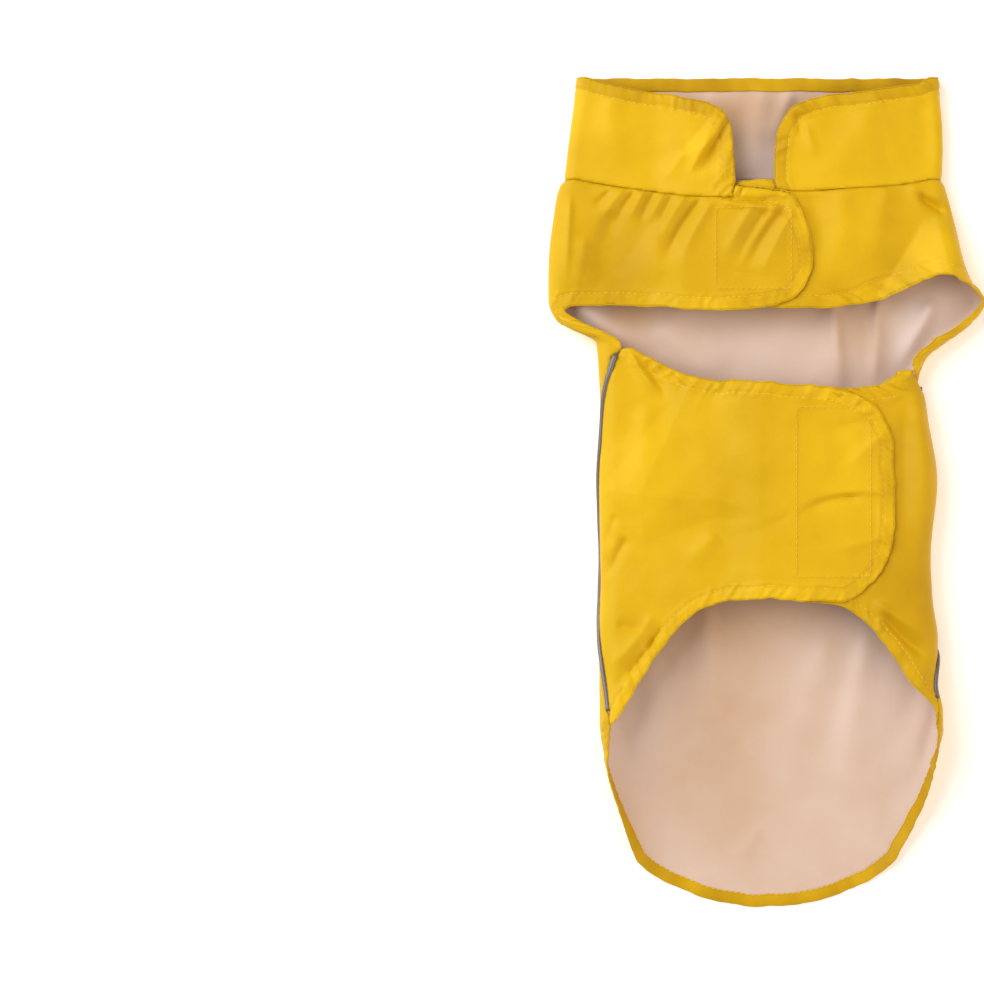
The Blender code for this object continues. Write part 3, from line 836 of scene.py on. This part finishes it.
def relief(panel, t, y):
    """The form's places, how far each point stands out from it, and how far it is lifted up."""
    place, angle, inward = form(t, y)
    x = place[:, 0]
    points = np.stack([t, y], -1)
    # over is 1 on the belly side of the coat, and under is 1 where it lies on the table
    over = step_up((angle / math.pi - 0.55) / 0.45)
    under = 1 - step_up(angle / (0.5 * math.pi))
    out = over * (crease_sum(TOP_CREASES, x, y) + facet_sum(x, y) + crumple(x, y, panel.seed))
    out += 0.35 * (1 - over) * (1 - under) * crumple(t, y, panel.seed + 20)
    back = crease_sum(BACK_CREASES, x, y) + 0.5 * np.maximum(0, 0.4 + crumple(x, y, panel.seed + 9))
    up = under * np.maximum(0, back) + np.cos(0.5 * angle) ** 2 * seam_lift(t, y)
    hemmed = np.full(len(t), FAR)
    for k, hem in enumerate(panel.hems):
        apart, where = along(points, hem.line)
        out += hem_relief(apart, where, hem, panel.seed + 3 * k) * (0.25 + 0.75 * (1 - under))
        hemmed = np.minimum(hemmed, apart)
        if hem.line is WING_CHAINS[-1]:
            out += notch_roll(apart, where)
    if panel.name in PATCH_ON:
        apart, _ = along(points, patch_row(PATCH_ON[panel.name]))
        out += PATCH_RIDGE * bell(apart, 0.8)
    for seam in panel.seams:
        apart, _ = along(points, seam)
        out -= (NECK_DIP if seam is NECK else SEAM_DIP) * bell(apart, 1.3)
    patch_x = np.where(y > LEG_Y, PATCHES[0].low_x, PATCHES[1].low_x)
    ramp = step_up((x - patch_x + LIFT_START) / LIFT_RUN)
    fade = 1 - 0.5 * step_up((y - NECK_Y) / 50)
    lifted = OVERLAP * ramp * fade * tab_settle(hemmed, x, y)
    up += np.where((t < 0) & (inward > 0), lifted * step_up(inward / 20), 0)
    return place, out, up


def lay(panel, points, depth=0.0):
    """Places in metres for pattern points, depth mm inside the outer face."""
    t, y = np.asarray(points, float).T
    place, out, up = relief(panel, t, y)
    place = place + (depth - out)[:, None] * inward_normal(t, y)
    place[:, 2] = np.maximum(place[:, 2] + up, TABLE_GAP + 0.9 * depth)
    place[:, 1] -= LENGTH / 2
    return place * MM


print("the middle of the back lies at", lay(BACK, [(0.0, 235.0)])[0].round(4), "m")

# %% [markdown]
# ## Painted light and shade, and each panel's tone
#
# Each panel has a tone of its own, partly its dye lot and partly painted shade. The patches in the
# tables are painted light and painted shade: on top they lighten folds that face the light and
# deepen those that turn away, and inside they lighten some shadows cast by the folds above and
# deepen others. The coating's deep colour is warmer, so its painted shade is warmer too.

# %% Tables of painted light and shade, and of the panels' tones
# each panel's own tone, partly its dye lot and partly painted shade
PANEL_TONE = {"back_panel": 0.0, "collar": 0.13, "left_belly_panel": 0.08, "right_belly_panel": -0.1}
PaintedShading = namedtuple("PaintedShading", "x y reach tall change")  # tall stretches the place along the coat
# painted light and shade on top: lighter on folds that face the light, deeper where they turn away
TOP_PAINTED_SHADING = [
    PaintedShading(-85, 355, 22, 1.2, -0.22),
    PaintedShading(50, 370, 24, 1.0, 0.08),
    PaintedShading(-70, 240, 20, 1.8, 0.16),
    PaintedShading(-12, 244, 24, 1.2, -0.1),
    PaintedShading(42, 240, 20, 1.8, 0.1),
    PaintedShading(90, 358, 11, 1.6, 0.2),
    PaintedShading(68, 370, 10, 2.0, -0.12),
    PaintedShading(84, 175, 14, 2.0, -0.06),
    PaintedShading(-40, 418, 8, 1.6, 0.12),
]
# painted light and shade inside: lifts some shadows cast under the folds and deepens others
INNER_PAINTED_SHADING = [
    PaintedShading(-2, 305, 34, 0.5, 0.18),
    PaintedShading(84, 320, 24, 1.0, 0.36),
    PaintedShading(20, 330, 60, 0.2, -0.1),
    PaintedShading(-76, 327, 15, 0.6, -0.3),
    PaintedShading(-106, 325, 15, 1.0, 0.5),
    PaintedShading(58, 314, 15, 0.8, -0.16),
    PaintedShading(-82, 106, 22, 1.9, 0.36),
    PaintedShading(-14, 160, 50, 0.45, -0.16),
    PaintedShading(-22, 90, 30, 2.6, -0.18),
    PaintedShading(50, 110, 24, 2.4, 0.14),
    PaintedShading(0, 16, 50, 0.4, 0.06),
    PaintedShading(-6, 410, 18, 1.2, 0.32),
    PaintedShading(-6, 436, 40, 0.4, -0.28),
]
print(len(TOP_PAINTED_SHADING), "places on top and", len(INNER_PAINTED_SHADING), "inside that are lighter or deeper")


# %% The tone of a point: painted light and shade, and the panel's tone
def painted_shading_sum(table, x, y):
    """The painted light and shade at each place, from every patch of a table that reaches it."""
    total = np.zeros_like(x)
    for s in table:
        apart = ((x - s.x) ** 2 + ((y - s.y) / s.tall) ** 2) / s.reach**2
        total += s.change * np.exp(-(apart**1.5))
    return total


def hem_painted_shade(where, seed):
    """Painted shade along a hem: long fades, and short blotches for the shading of its puckers."""
    fades = 0.11 * noise_at(where, 0 * where, 17, seed + 0.6)
    return fades + 0.07 * noise_at(where, 0 * where, 6, seed + 0.7)


def tone(panel, points):
    """How much lighter or deeper the colour is at each pattern point: painted light and shade, and each
    panel's tone.
    """
    place, angle, _ = form(*points.T)
    over = step_up((angle / math.pi - 0.4) / 0.2)
    total = over * (PANEL_TONE[panel.name] + painted_shading_sum(TOP_PAINTED_SHADING, *place.T[:2]))
    total += (1 - over) * painted_shading_sum(INNER_PAINTED_SHADING, *place.T[:2])
    for k, hem in enumerate(panel.hems):
        apart, where = along(points, hem.line)
        band = 1 - step_up((apart - hem.width + 0.5) / 1.0)
        total += over * band * (hem.tone + hem_painted_shade(where, panel.seed + k))
    return total


print("a tone on the left wing:", tone(BACK, top(-1, np.array([-85.0]), np.array([355.0]))).round(2))

# %% [markdown]
# ## Cutting a panel out
#
# A laid panel needs small, even triangles, so that creases bend it smoothly, and a true edge. The
# outline is filled with staggered rows of points, and a Delaunay triangulation joins them to it.
# Under the coat the cloth is nearly flat, so the points can be further apart there.

# %% Cutting
def within(points, outline):
    """Which points lie inside a closed outline."""
    found = np.zeros(len(points), bool)
    x, y = points.T
    for (ax, ay), (bx, by) in zip(outline, np.roll(outline, -1, axis=0)):
        if ay == by:
            continue
        crossing = ((ay > y) != (by > y)) & (x < (bx - ax) * (y - ay) / (by - ay) + ax)
        found ^= crossing
    return found


def staggered(low, high, step):
    """Rows of points in a box, each shifted by half a step from the last."""
    rows = []
    # triangles with three equal sides stand 0.87 of a side high
    for k, y in enumerate(np.arange(low[1], high[1], step * 0.87)):
        x = np.arange(low[0] + 0.5 * step * (k % 2), high[0], step)
        rows.append(np.stack([x, np.full(len(x), y)], -1))
    return np.concatenate(rows)


def under_the_coat(points):
    """Where a panel lies flat below the others, which needs fewer points."""
    return form(*points.T)[1] < 0.6 * math.pi


def cut(outline, step, holes=()):
    """Pattern points and triangles that fill an outline."""
    edge = resample(np.concatenate([outline, outline[:1]]), step)[:-1]
    low, high = edge.min(axis=0), edge.max(axis=0)
    fine, coarse = staggered(low, high, step), staggered(low, high, 1.5 * step)
    grid = np.concatenate([fine[~under_the_coat(fine)], coarse[under_the_coat(coarse)]])
    grid = grid[within(grid, edge)]
    # points that lie too near the edge would make slivers
    grid = grid[along(grid, np.concatenate([edge, edge[:1]]))[0] > 0.55 * step]
    rings = [edge] + [np.asarray(hole, float) for hole in holes]
    pairs, start = [], 0
    for ring in rings:
        pairs += [(start + i, start + (i + 1) % len(ring)) for i in range(len(ring))]
        start += len(ring)
    seeds = np.concatenate([*rings, grid])
    points, _, faces, *_ = delaunay_2d_cdt([Vector(p) for p in seeds], pairs, [], 1, 1e-5)
    points, faces = np.array(points), np.array(faces)
    for hole in holes:
        faces = faces[~within(points[faces].mean(axis=1), np.asarray(hole))]
    used, faces = np.unique(faces, return_inverse=True)
    return points[used], faces.reshape(-1, 3)


print("a trial cut of the collar has", len(cut(COLLAR.outline, 6.0)[1]), "triangles")

# %% [markdown]
# ## From a cut to a piece
#
# A sheet starts as a single surface, its outer face. Solidify gives it its wall inwards and puts
# the coating's material on the inner face. Its UV map holds the flat pattern in metres, so the
# weave runs along the cloth and not along the world, and one attribute holds the tone: painted
# light and shade, and each panel's own tone.

# %% The mesh, its wall and its ride
def new_piece(name, places, faces, materials, uv=None, tones=None):
    """A mesh object at the origin, with a UV map in metres of the flat cloth."""
    mesh = bpy.data.meshes.new(name)
    mesh.from_pydata([tuple(p) for p in places], [], [tuple(int(i) for i in f) for f in faces])
    for finish in materials:
        mesh.materials.append(finish)
    if uv is not None:
        layer = mesh.uv_layers.new(name="UVMap")
        corner = np.array([loop.vertex_index for loop in mesh.loops])
        layer.data.foreach_set("uv", (np.asarray(uv)[corner] * MM).ravel())
    if tones is not None:
        # the tone attribute: painted light and shade, and each panel's tone
        mesh.attributes.new("tone", "FLOAT", "POINT").data.foreach_set("value", tones)
    mesh.validate()
    mesh.shade_smooth()
    made = bpy.data.objects.new(name, mesh)
    bpy.context.collection.objects.link(made)
    return made


def finish_piece(made, slot, *nodes):
    """Tells the frame what the piece rides on, and hides the solids it replaces. The slot is not used.
    """
    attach(made, "root")
    if nodes:
        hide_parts(*nodes)
    print(f"{made.name}: {len(made.data.polygons)} faces")


def select_only(made):
    """Selects one piece and makes it active, because operators act on all that is selected."""
    bpy.ops.object.select_all(action="DESELECT")
    bpy.context.view_layer.objects.active = made
    made.select_set(True)


def thicken(made, thickness):
    """Gives a sheet its wall, inwards, with the second material on the inner face."""
    wall = made.modifiers.new("wall", "SOLIDIFY")
    wall.thickness = thickness * MM
    wall.offset = -1
    wall.material_offset = 1
    wall.material_offset_rim = 0
    select_only(made)
    bpy.ops.object.modifier_apply(modifier=wall.name)
    made.select_set(False)


print("each panel gets a wall of", CLOTH, "mm")

# %% [markdown]
# ## Finishes
#
# The outside is woven polyester, dyed yellow and sprayed against water: matt, with a soft sheen
# where it turns to the light. Its inside has a thin coat of pinkish cream polyurethane, smoother
# than the weave. The cord in the side seams is covered with grey retroreflective film, which looks
# like brushed pewter in soft light.

# %% Helpers for materials
def linear(hex_colour):
    """An sRGB hex colour as the linear values that a shader takes."""
    values = [int(hex_colour[i : i + 2], 16) / 255 for i in (1, 3, 5)]
    return tuple(v / 12.92 if v <= 0.04045 else ((v + 0.055) / 1.055) ** 2.4 for v in values) + (1.0,)


def node(tree, kind, settings=None, links=None):
    """Adds a node, sets its values or properties, and links its inputs."""
    made = tree.nodes.new(kind)
    for key, value in (settings or {}).items():
        if isinstance(key, int) or key in made.inputs:
            made.inputs[key].default_value = value
        else:
            setattr(made, key, value)
    for key, source in (links or {}).items():
        tree.links.new(source, made.inputs[key])
    return made


def finish_named(name, roughness, specular, sheen=0.0):
    """A new material with its constants set: (material, node tree, shader)."""
    made = bpy.data.materials.new(name)
    made.use_nodes = True
    shader = made.node_tree.nodes["Principled BSDF"]
    shader.inputs["Roughness"].default_value = roughness
    shader.inputs["Specular IOR Level"].default_value = specular
    shader.inputs["Sheen Weight"].default_value = sheen
    shader.inputs["Sheen Roughness"].default_value = 0.4
    return made, made.node_tree, shader


print("hex to linear:", [round(v, 3) for v in linear("#f0c614")])

# %% [markdown]
# ## The cloth's finish
#
# One recipe serves the shell, its coating and the tapes. Its colour runs between a deep and a light
# one: clouds of uneven dye choose the place between them, and the tone attribute shifts it with
# painted light and shade and each panel's own tone. The bump is a plain weave, two sets of threads,
# with the small dents of a handled coating.

# %% Coated cloth
THREAD = 0.62 * MM  # the weave's threads are 0.25 mm apart, drawn coarser so that they show
CLOUD, DENT = 50 * MM, 3.125 * MM  # how far apart the dye's clouds and the coating's dents are
WAVE_TO_THREAD = 0.314  # a wave texture of scale 1 has bands this many metres apart


def cloth_finish(name, light, dark, roughness, weave, sheen):
    """Coated cloth: a plain weave in its bump, cloudy colour and small dents."""
    made, tree, shader = finish_named(name, roughness, 0.16, sheen)
    on_cloth = {"Vector": node(tree, "ShaderNodeUVMap", {"uv_map": "UVMap"}).outputs["UV"]}
    clouds = {"Scale": 1 / CLOUD, "Detail": 4.0, "Roughness": 0.55}
    cloud = node(tree, "ShaderNodeTexNoise", clouds, on_cloth).outputs["Fac"]
    # the tone attribute holds painted light and shade, and each panel's tone
    painted_shading_there = node(tree, "ShaderNodeAttribute", {"attribute_name": "tone"}).outputs["Fac"]
    half = {"operation": "MULTIPLY_ADD", 1: 0.5}
    shade = node(tree, "ShaderNodeMath", half, {0: cloud, 2: painted_shading_there}).outputs[0]
    share = {"From Min": -0.25, "From Max": 0.75}
    tint = node(tree, "ShaderNodeMapRange", share, {"Value": shade}).outputs["Result"]
    dyes = {"data_type": "RGBA", 6: linear(dark), 7: linear(light)}
    colour = node(tree, "ShaderNodeMix", dyes, {"Factor": tint})
    tree.links.new(colour.outputs[2], shader.inputs["Base Color"])
    threads = {}
    for k, direction in enumerate(("X", "Y")):
        bands = {"bands_direction": direction, "Distortion": 0.4, "Detail": 1.0}
        bands["Scale"] = WAVE_TO_THREAD / THREAD
        threads[k] = node(tree, "ShaderNodeTexWave", bands, on_cloth).outputs["Fac"]
    woven = node(tree, "ShaderNodeMath", {"operation": "MULTIPLY"}, threads).outputs[0]
    small = {"Scale": 1 / DENT, "Detail": 5.0, "Roughness": 0.6}
    dents = node(tree, "ShaderNodeTexNoise", small, on_cloth).outputs["Fac"]
    raised = {"operation": "MULTIPLY_ADD", 1: weave}
    height = node(tree, "ShaderNodeMath", raised, {0: woven, 2: dents}).outputs[0]
    depth = {"Strength": 0.35, "Distance": 0.25 * MM}
    bump = node(tree, "ShaderNodeBump", depth, {"Height": height})
    tree.links.new(bump.outputs["Normal"], shader.inputs["Normal"])
    return made


print("the weave's threads are drawn", THREAD / MM, "mm apart")

# %% Yellow polyester, its coating, the tapes and the thread
YELLOW = cloth_finish("yellow_coated_polyester", "#f0c614", "#ae8002", 0.46, 0.55, 0.02)
COATING = cloth_finish("cream_polyurethane_coating", "#e7d4ce", "#be9872", 0.5, 0.2, 0.03)
# spun thread is a little paler than the cloth, and catches the light as small dashes
THREAD_FINISH, _, shader = finish_named("yellow_polyester_thread", 0.6, 0.2)
shader.inputs["Base Color"].default_value = linear("#f2c944")
# hook tape is moulded nylon on a coarse weave, dry to the eye, and loop tape is brushed to a fuzz
HOOK_FINISH = cloth_finish("yellow_hook_tape", "#d3a637", "#c4962a", 0.8, 1.6, 0.0)
LOOP_FINISH = cloth_finish("yellow_loop_tape", "#d6ad42", "#c89c30", 0.95, 1.2, 0.4)
print("cloths:", [made.name for made in (YELLOW, COATING, HOOK_FINISH, LOOP_FINISH)])

# %% [markdown]
# ## The piping's finish
#
# Retroreflective film is a layer of glass beads, each a few hundredths of a millimetre wide, over
# aluminium. Seen by soft light it is a plain grey with a little metal in it. The beads are far too
# small to draw, so their unevenness stands in for them, in patches of about a millimetre.

# %% Retroreflective film
BEAD_PATCH = 1.111 * MM
PIPING_FINISH, tree, shader = finish_named("grey_retroreflective_piping", 0.38, 0.7)
in_space = {"Vector": node(tree, "ShaderNodeTexCoord").outputs["Object"]}
patchy = {"Scale": 1 / BEAD_PATCH, "Detail": 2.0}
beads = node(tree, "ShaderNodeTexNoise", patchy, in_space).outputs["Fac"]
greys = {"data_type": "RGBA", 6: linear("#5f5759"), 7: linear("#7d7578")}
tint = node(tree, "ShaderNodeMix", greys, {"Factor": beads})
tree.links.new(tint.outputs[2], shader.inputs["Base Color"])
rough = {"Strength": 0.4, "Distance": 0.1 * MM}
grain = node(tree, "ShaderNodeBump", rough, {"Height": beads})
tree.links.new(grain.outputs["Normal"], shader.inputs["Normal"])
shader.inputs["Metallic"].default_value = 0.35
print("piping:", PIPING_FINISH.name)

# %% [markdown]
# ## The four panels
#
# The back panel is the largest cut: centre back and both chest wings in one, with the lead slit on
# its middle. The collar is one band. The belly panels meet under the belly tab.

# %% Lay the panels
SLIT = [
    (SLIT_MIDDLE[0] + 0.5 * SLIT_WIDTH * math.cos(a), SLIT_MIDDLE[1] + 0.5 * SLIT_LENGTH * math.sin(a))
    for a in np.linspace(0, 2 * math.pi, 40, endpoint=False)
]
MESH_STEP = {"back_panel": 1.25, "collar": 1.3, "left_belly_panel": 1.2, "right_belly_panel": 1.3}  # mm
made_panels = {}
for panel in PANELS:
    holes = [SLIT] if panel is BACK else []
    points, faces = cut(panel.outline, MESH_STEP[panel.name], holes)
    finishes, tones = [YELLOW, COATING], tone(panel, points)
    shell = new_piece(panel.name + "_cloth", lay(panel, points), faces[:, ::-1], finishes, points, tones)
    thicken(shell, CLOTH)
    finish_piece(shell, "shell", panel.name)
    made_panels[panel.name] = shell

# %% [markdown]
# ## Turned hems
#
# At a hem the cloth's edge is turned to the inside and stitched. What shows is a rolled edge and,
# from inside, a yellow band on the cream coating. Each hem is one closed strip whose section hugs
# the panel's edge, swept along the edge on the flat pattern. Spin and Screw only turn round an
# axis, and a curve's bevel twists on a bent surface, so the sweep is written out.

# %% Sweeping a section along a pattern line
UV_STEP = 3.0  # mm of the flat cloth from one point of a section to the next


def tube_faces(first, rings, size):
    """The faces of a closed tube whose points come ring by ring, from that first number on."""
    faces = []
    last = first + (rings - 1) * size
    for ring in range(first, last, size):
        for k in range(size):
            a, b = ring + k, ring + (k + 1) % size
            faces.append((a, b, b + size, a + size))
    faces.append(tuple(range(first, first + size))[::-1])
    faces.append(tuple(range(last, last + size)))
    return faces


def face_out(made):
    """Turns a closed mesh's faces outwards."""
    select_only(made)
    bpy.ops.object.mode_set(mode="EDIT")
    bpy.ops.mesh.select_all(action="SELECT")
    bpy.ops.mesh.normals_make_consistent(inside=False)
    bpy.ops.object.mode_set(mode="OBJECT")
    made.select_set(False)


def sweep(name, panel, line, section, materials, tones=0.0):
    """A closed strip: the section's (sideways, depth) points at each point of a pattern line."""
    rings = []
    for sideways, depth in section:
        rings.append(lay(panel, beside(line, sideways), depth))
    places = np.stack(rings, 1).reshape(-1, 3)
    size, count = len(section), len(line)
    run = np.repeat(np.arange(count) * EDGE_STEP, size)
    across = np.tile(UV_STEP * np.arange(size), count)
    tones = np.repeat(np.broadcast_to(tones, count), size)
    uv = np.stack([run, across], -1)
    made = new_piece(name, places, tube_faces(0, count, size), materials, uv, tones)
    face_out(made)
    return made


print("a swept strip has a ring every", EDGE_STEP, "mm")

# %% The hems
# (in from the edge, inside the outer face): the edge rolls over, the turned band ends just past
# the stitches, from where the second list is measured, and the section comes back inside it
HEM_ROLL = [(0.25, -0.03), (0, -0.03), (-0.3, 0.12), (-0.42, 0.42), (-0.3, 0.75), (0.1, 0.98), (3, 1.05)]
HEM_END = [(-0.4, 0.98), (0.3, 0.85), (0.3, 0.58), (-0.4, 0.47)]
HEM_RETURN = [(3, 0.47), (0.1, 0.47), (-0.08, 0.3), (-0.02, 0.05)]
HEM_NAMES = {
    "back_panel": ["right_wing_hem", "left_wing_hem", "tail_hem"],
    "collar": ["collar_hem"],
    "left_belly_panel": ["left_belly_hem"],
    "right_belly_panel": ["right_belly_hem"],
}
made_hems = {name: [] for name in made_panels}
for panel in PANELS:
    for k, (name, hem) in enumerate(zip(HEM_NAMES[panel.name], panel.hems)):
        end = [(hem.width + sideways, depth) for sideways, depth in HEM_END]
        section = [(hem.inside * sideways, depth) for sideways, depth in HEM_ROLL + end + HEM_RETURN]
        line = hem.line[1:-1]
        # the strip takes the same painted shade as the hem's band
        tones = hem.tone + hem_painted_shade(np.arange(len(line)) * EDGE_STEP, panel.seed + k)
        strip = sweep(name, panel, line, section, [YELLOW], tones)
        finish_piece(strip, "shell")
        made_hems[panel.name].append(strip)

# %% [markdown]
# ## Piping
#
# The side seams carry a cord covered with reflective film. It lies in the dip between the back
# panel and a belly panel, so its section is swept along the seam's own line.

# %% Sweep the piping
PIPING_RADIUS, PIPING_SINK, PIPING_SIDES = 1.4, 0.1, 16
PIPING_START = 4.0  # how far past the gap's beginning the cord comes out of the seam
PIPING_SECTION = [
    (PIPING_RADIUS * math.cos(a), PIPING_SINK + PIPING_RADIUS * math.sin(a))
    for a in np.linspace(0, 2 * math.pi, PIPING_SIDES, endpoint=False)
]
CORD = {side: Panel(f"cord_{side}", None, [], [], 5 + side) for side in (-1, 1)}
for side, name in ((-1, "left_piping"), (1, "right_piping")):
    low = round((PIPING_END[side] + PIPING_START) / EDGE_STEP)
    high = len(SEAM_LINES[side]) - 1 - round(PIPING_TOP[side] / EDGE_STEP)
    line = SEAM_LINES[side][low:high]
    cord = sweep(name + "_cord", CORD[side], line, PIPING_SECTION, [PIPING_FINISH])
    finish_piece(cord, "piping", name)

# %% [markdown]
# ## Hook-and-loop patches
#
# Each closure has a hook patch inside the tab and a loop patch on the panel under it, both as large
# as the rectangle of stitches. Little of them shows, but they hold the tab up, so they fill the
# space between the panels.

# %% Lay the patches
TAPE, TAPE_STEP = 1.1, 2.0
TAPES = [(-1, "hook", CLOTH + 0.05, HOOK_FINISH), (1, "loop", -TAPE - 0.2, LOOP_FINISH)]
for patch in PATCHES:
    for side, kind, depth, tape in TAPES:
        panel = BACK if patch.name == "chest" else BELLY[side]
        points, faces = cut(patch_outline(side, patch), TAPE_STEP)
        name = f"{patch.name}_{kind}"
        places = lay(panel, points, depth)
        piece = new_piece(name + "_tape", places, faces[:, ::-1], [tape, tape], points)
        thicken(piece, TAPE)
        finish_piece(piece, "tape", name + "_patch")

# %% [markdown]
# ## Stitches
#
# Lockstitch shows as short dashes of thread, about 2.4 mm long with a small gap between. One stitch
# is a thin six-sided spindle, thicker than real thread so that it shows, and the rows of a panel
# are one mesh along lines on the pattern.

# %% One row of stitches
STITCH, STITCH_GAP, FIRST_STITCH = 2.4, 0.8, 0.5  # a stitch, the gap after it, the row's start
# (place along the stitch, how far it sinks into the cloth, radius)
SPINDLE = [(0.0, 0.04, 0.05), (0.25, -0.16, 0.19), (0.75, -0.16, 0.19), (1.0, 0.04, 0.05)]
SIDES = 6


def stitch_places(panel, line, depth, outside):
    """All the points of a row's stitches, on a face at that depth; outside is -1 on an inner face."""
    begins = np.arange(FIRST_STITCH, runs(line)[-1] - STITCH, STITCH + STITCH_GAP)
    centres = []
    for share, sink, _ in SPINDLE:
        spots = points_at(line, begins + share * STITCH)
        centres.append(lay(panel, spots, depth + outside * sink))
    forward = centres[-1] - centres[0]
    forward /= np.linalg.norm(forward, axis=1, keepdims=True)
    sideways = np.cross(inward_normal(*spots.T), forward)
    upright = np.cross(forward, sideways)
    rings = []
    for centre, (_, _, radius) in zip(centres, SPINDLE):
        for k in range(SIDES):
            angle = 2 * math.pi * k / SIDES
            out = math.cos(angle) * sideways + math.sin(angle) * upright
            rings.append(centre + radius * MM * out)
    return np.stack(rings, 1).reshape(-1, 3)


print("a stitch has", len(tube_faces(0, len(SPINDLE), SIDES)), "faces")

# %% All the rows of each panel
ROW_TRIM = 3  # steps left out at each end of a hem


def stitch_rows(name, rows):
    """One piece from rows of (panel, pattern line, depth of the face, 1 outside or -1 inside)."""
    places = np.concatenate([stitch_places(*row) for row in rows])
    faces = []
    for first in range(0, len(places), SIDES * len(SPINDLE)):
        faces += tube_faces(first, len(SPINDLE), SIDES)
    made = new_piece(name, places, faces, [THREAD_FINISH])
    face_out(made)
    finish_piece(made, "shell")
    return made


def hem_row(panel, k=0):
    """The row of stitches along one of a panel's hems."""
    hem = panel.hems[k]
    return beside(hem.line, hem.inside * hem.width)[ROW_TRIM:-ROW_TRIM]


ROUND_SLIT = (2.6, 1.06)  # how many times wider and longer than the slit its row is
slit_ring = np.array(SLIT + SLIT[:1])
slit_row = SLIT_MIDDLE + (slit_ring - SLIT_MIDDLE) * ROUND_SLIT
BACK_ROWS = [(BACK, hem_row(BACK, k), 0.0, 1) for k in range(3)]
BACK_ROWS += [(BACK, hem_row(BACK, 2), 1.0, -1), (BACK, patch_row(PATCHES[0]), 0.0, 1)]
BACK_ROWS += [(BACK, resample(slit_row, 1.0), 0.0, 1)]
LEFT_ROWS = [(BELLY[-1], line, 0.0, 1) for line in (hem_row(BELLY[-1]), patch_row(PATCHES[1]))]
made_stitches = {
    "back_panel": stitch_rows("back_stitches", BACK_ROWS),
    "collar": stitch_rows("collar_stitches", [(COLLAR, hem_row(COLLAR), 0.0, 1)]),
    "left_belly_panel": stitch_rows("left_belly_stitches", LEFT_ROWS),
    "right_belly_panel": stitch_rows("right_belly_stitches", [(BELLY[1], hem_row(BELLY[1]), 0.0, 1)]),
}

# %% [markdown]


# %% [markdown]
# ## The table and the light
#
# The coat lies on a table of white acrylic that is lit a little from below, as product tables are,
# so its shadow nearly goes. One large soft light from the upper left models the folds. A weaker,
# warmer one from the right opens the shadows, and the world fills in the rest.

# %% The table
TABLE_SIZE, TABLE_GLOW = 8.0, 0.22  # m, and how strongly the acrylic is lit from below
bpy.ops.object.select_all(action="DESELECT")
bpy.ops.mesh.primitive_plane_add(size=TABLE_SIZE)
floor = bpy.context.object
floor.name = "floor"
floor_finish, tree, shader = finish_named("white_acrylic_lit_from_below", 0.9, 0.1)
shader.inputs["Base Color"].default_value = linear("#fdfdfc")
shader.inputs["Emission Color"].default_value = linear("#ffffff")
shader.inputs["Emission Strength"].default_value = TABLE_GLOW
floor.data.materials.append(floor_finish)
print("the table is", TABLE_SIZE, "m wide")


# %% The lights
def softbox(name, place, size, watts, colour="#ffffff"):
    """A square soft light at a place, turned towards the coat."""
    bpy.ops.object.light_add(type="AREA", location=place)
    made = bpy.context.object
    made.name = name
    made.data.shape = "SQUARE"
    made.data.size = size
    made.data.energy = watts
    made.data.color = linear(colour)[:3]
    made.rotation_euler = Vector(place).to_track_quat("Z", "Y").to_euler()
    return made


softbox("key", (-1.35, 0.85, 1.35), 2.0, 45)
softbox("fill", (1.5, -0.5, 1.2), 1.8, 20, "#ffe8c6")
world = bpy.data.worlds.new("studio")
bpy.context.scene.world = world
world.use_nodes = True
background = world.node_tree.nodes["Background"]
background.inputs["Color"].default_value = linear("#fffaf3")
background.inputs["Strength"].default_value = 0.45

# %% [markdown]
# ## The camera
#
# A long lens from straight above keeps the outline true, as a flat lay needs: a short one would
# make the sides that curl up lean outwards. It is aimed beside the coat, which then stands in the
# right half of the view.

# %% The camera
VIEW_WIDTH = 541 * MM
VIEW_CENTRE = (-151.2 * MM, 0.3 * MM)
COAT_HEIGHT = 18 * MM  # the height at which the view is that wide
LENS, FARTHEST = 200, 20  # mm, and m
camera_data = bpy.data.cameras.new("camera")
camera_data.lens = LENS
camera_data.clip_end = FARTHEST
camera = bpy.data.objects.new("camera", camera_data)
bpy.context.collection.objects.link(camera)
distance = VIEW_WIDTH * LENS / camera_data.sensor_width
camera.location = (*VIEW_CENTRE, distance + COAT_HEIGHT)
bpy.context.scene.camera = camera
bpy.context.scene.view_settings.view_transform = "Standard"
print("the camera is", round(camera.location.z, 3), "m above the table")
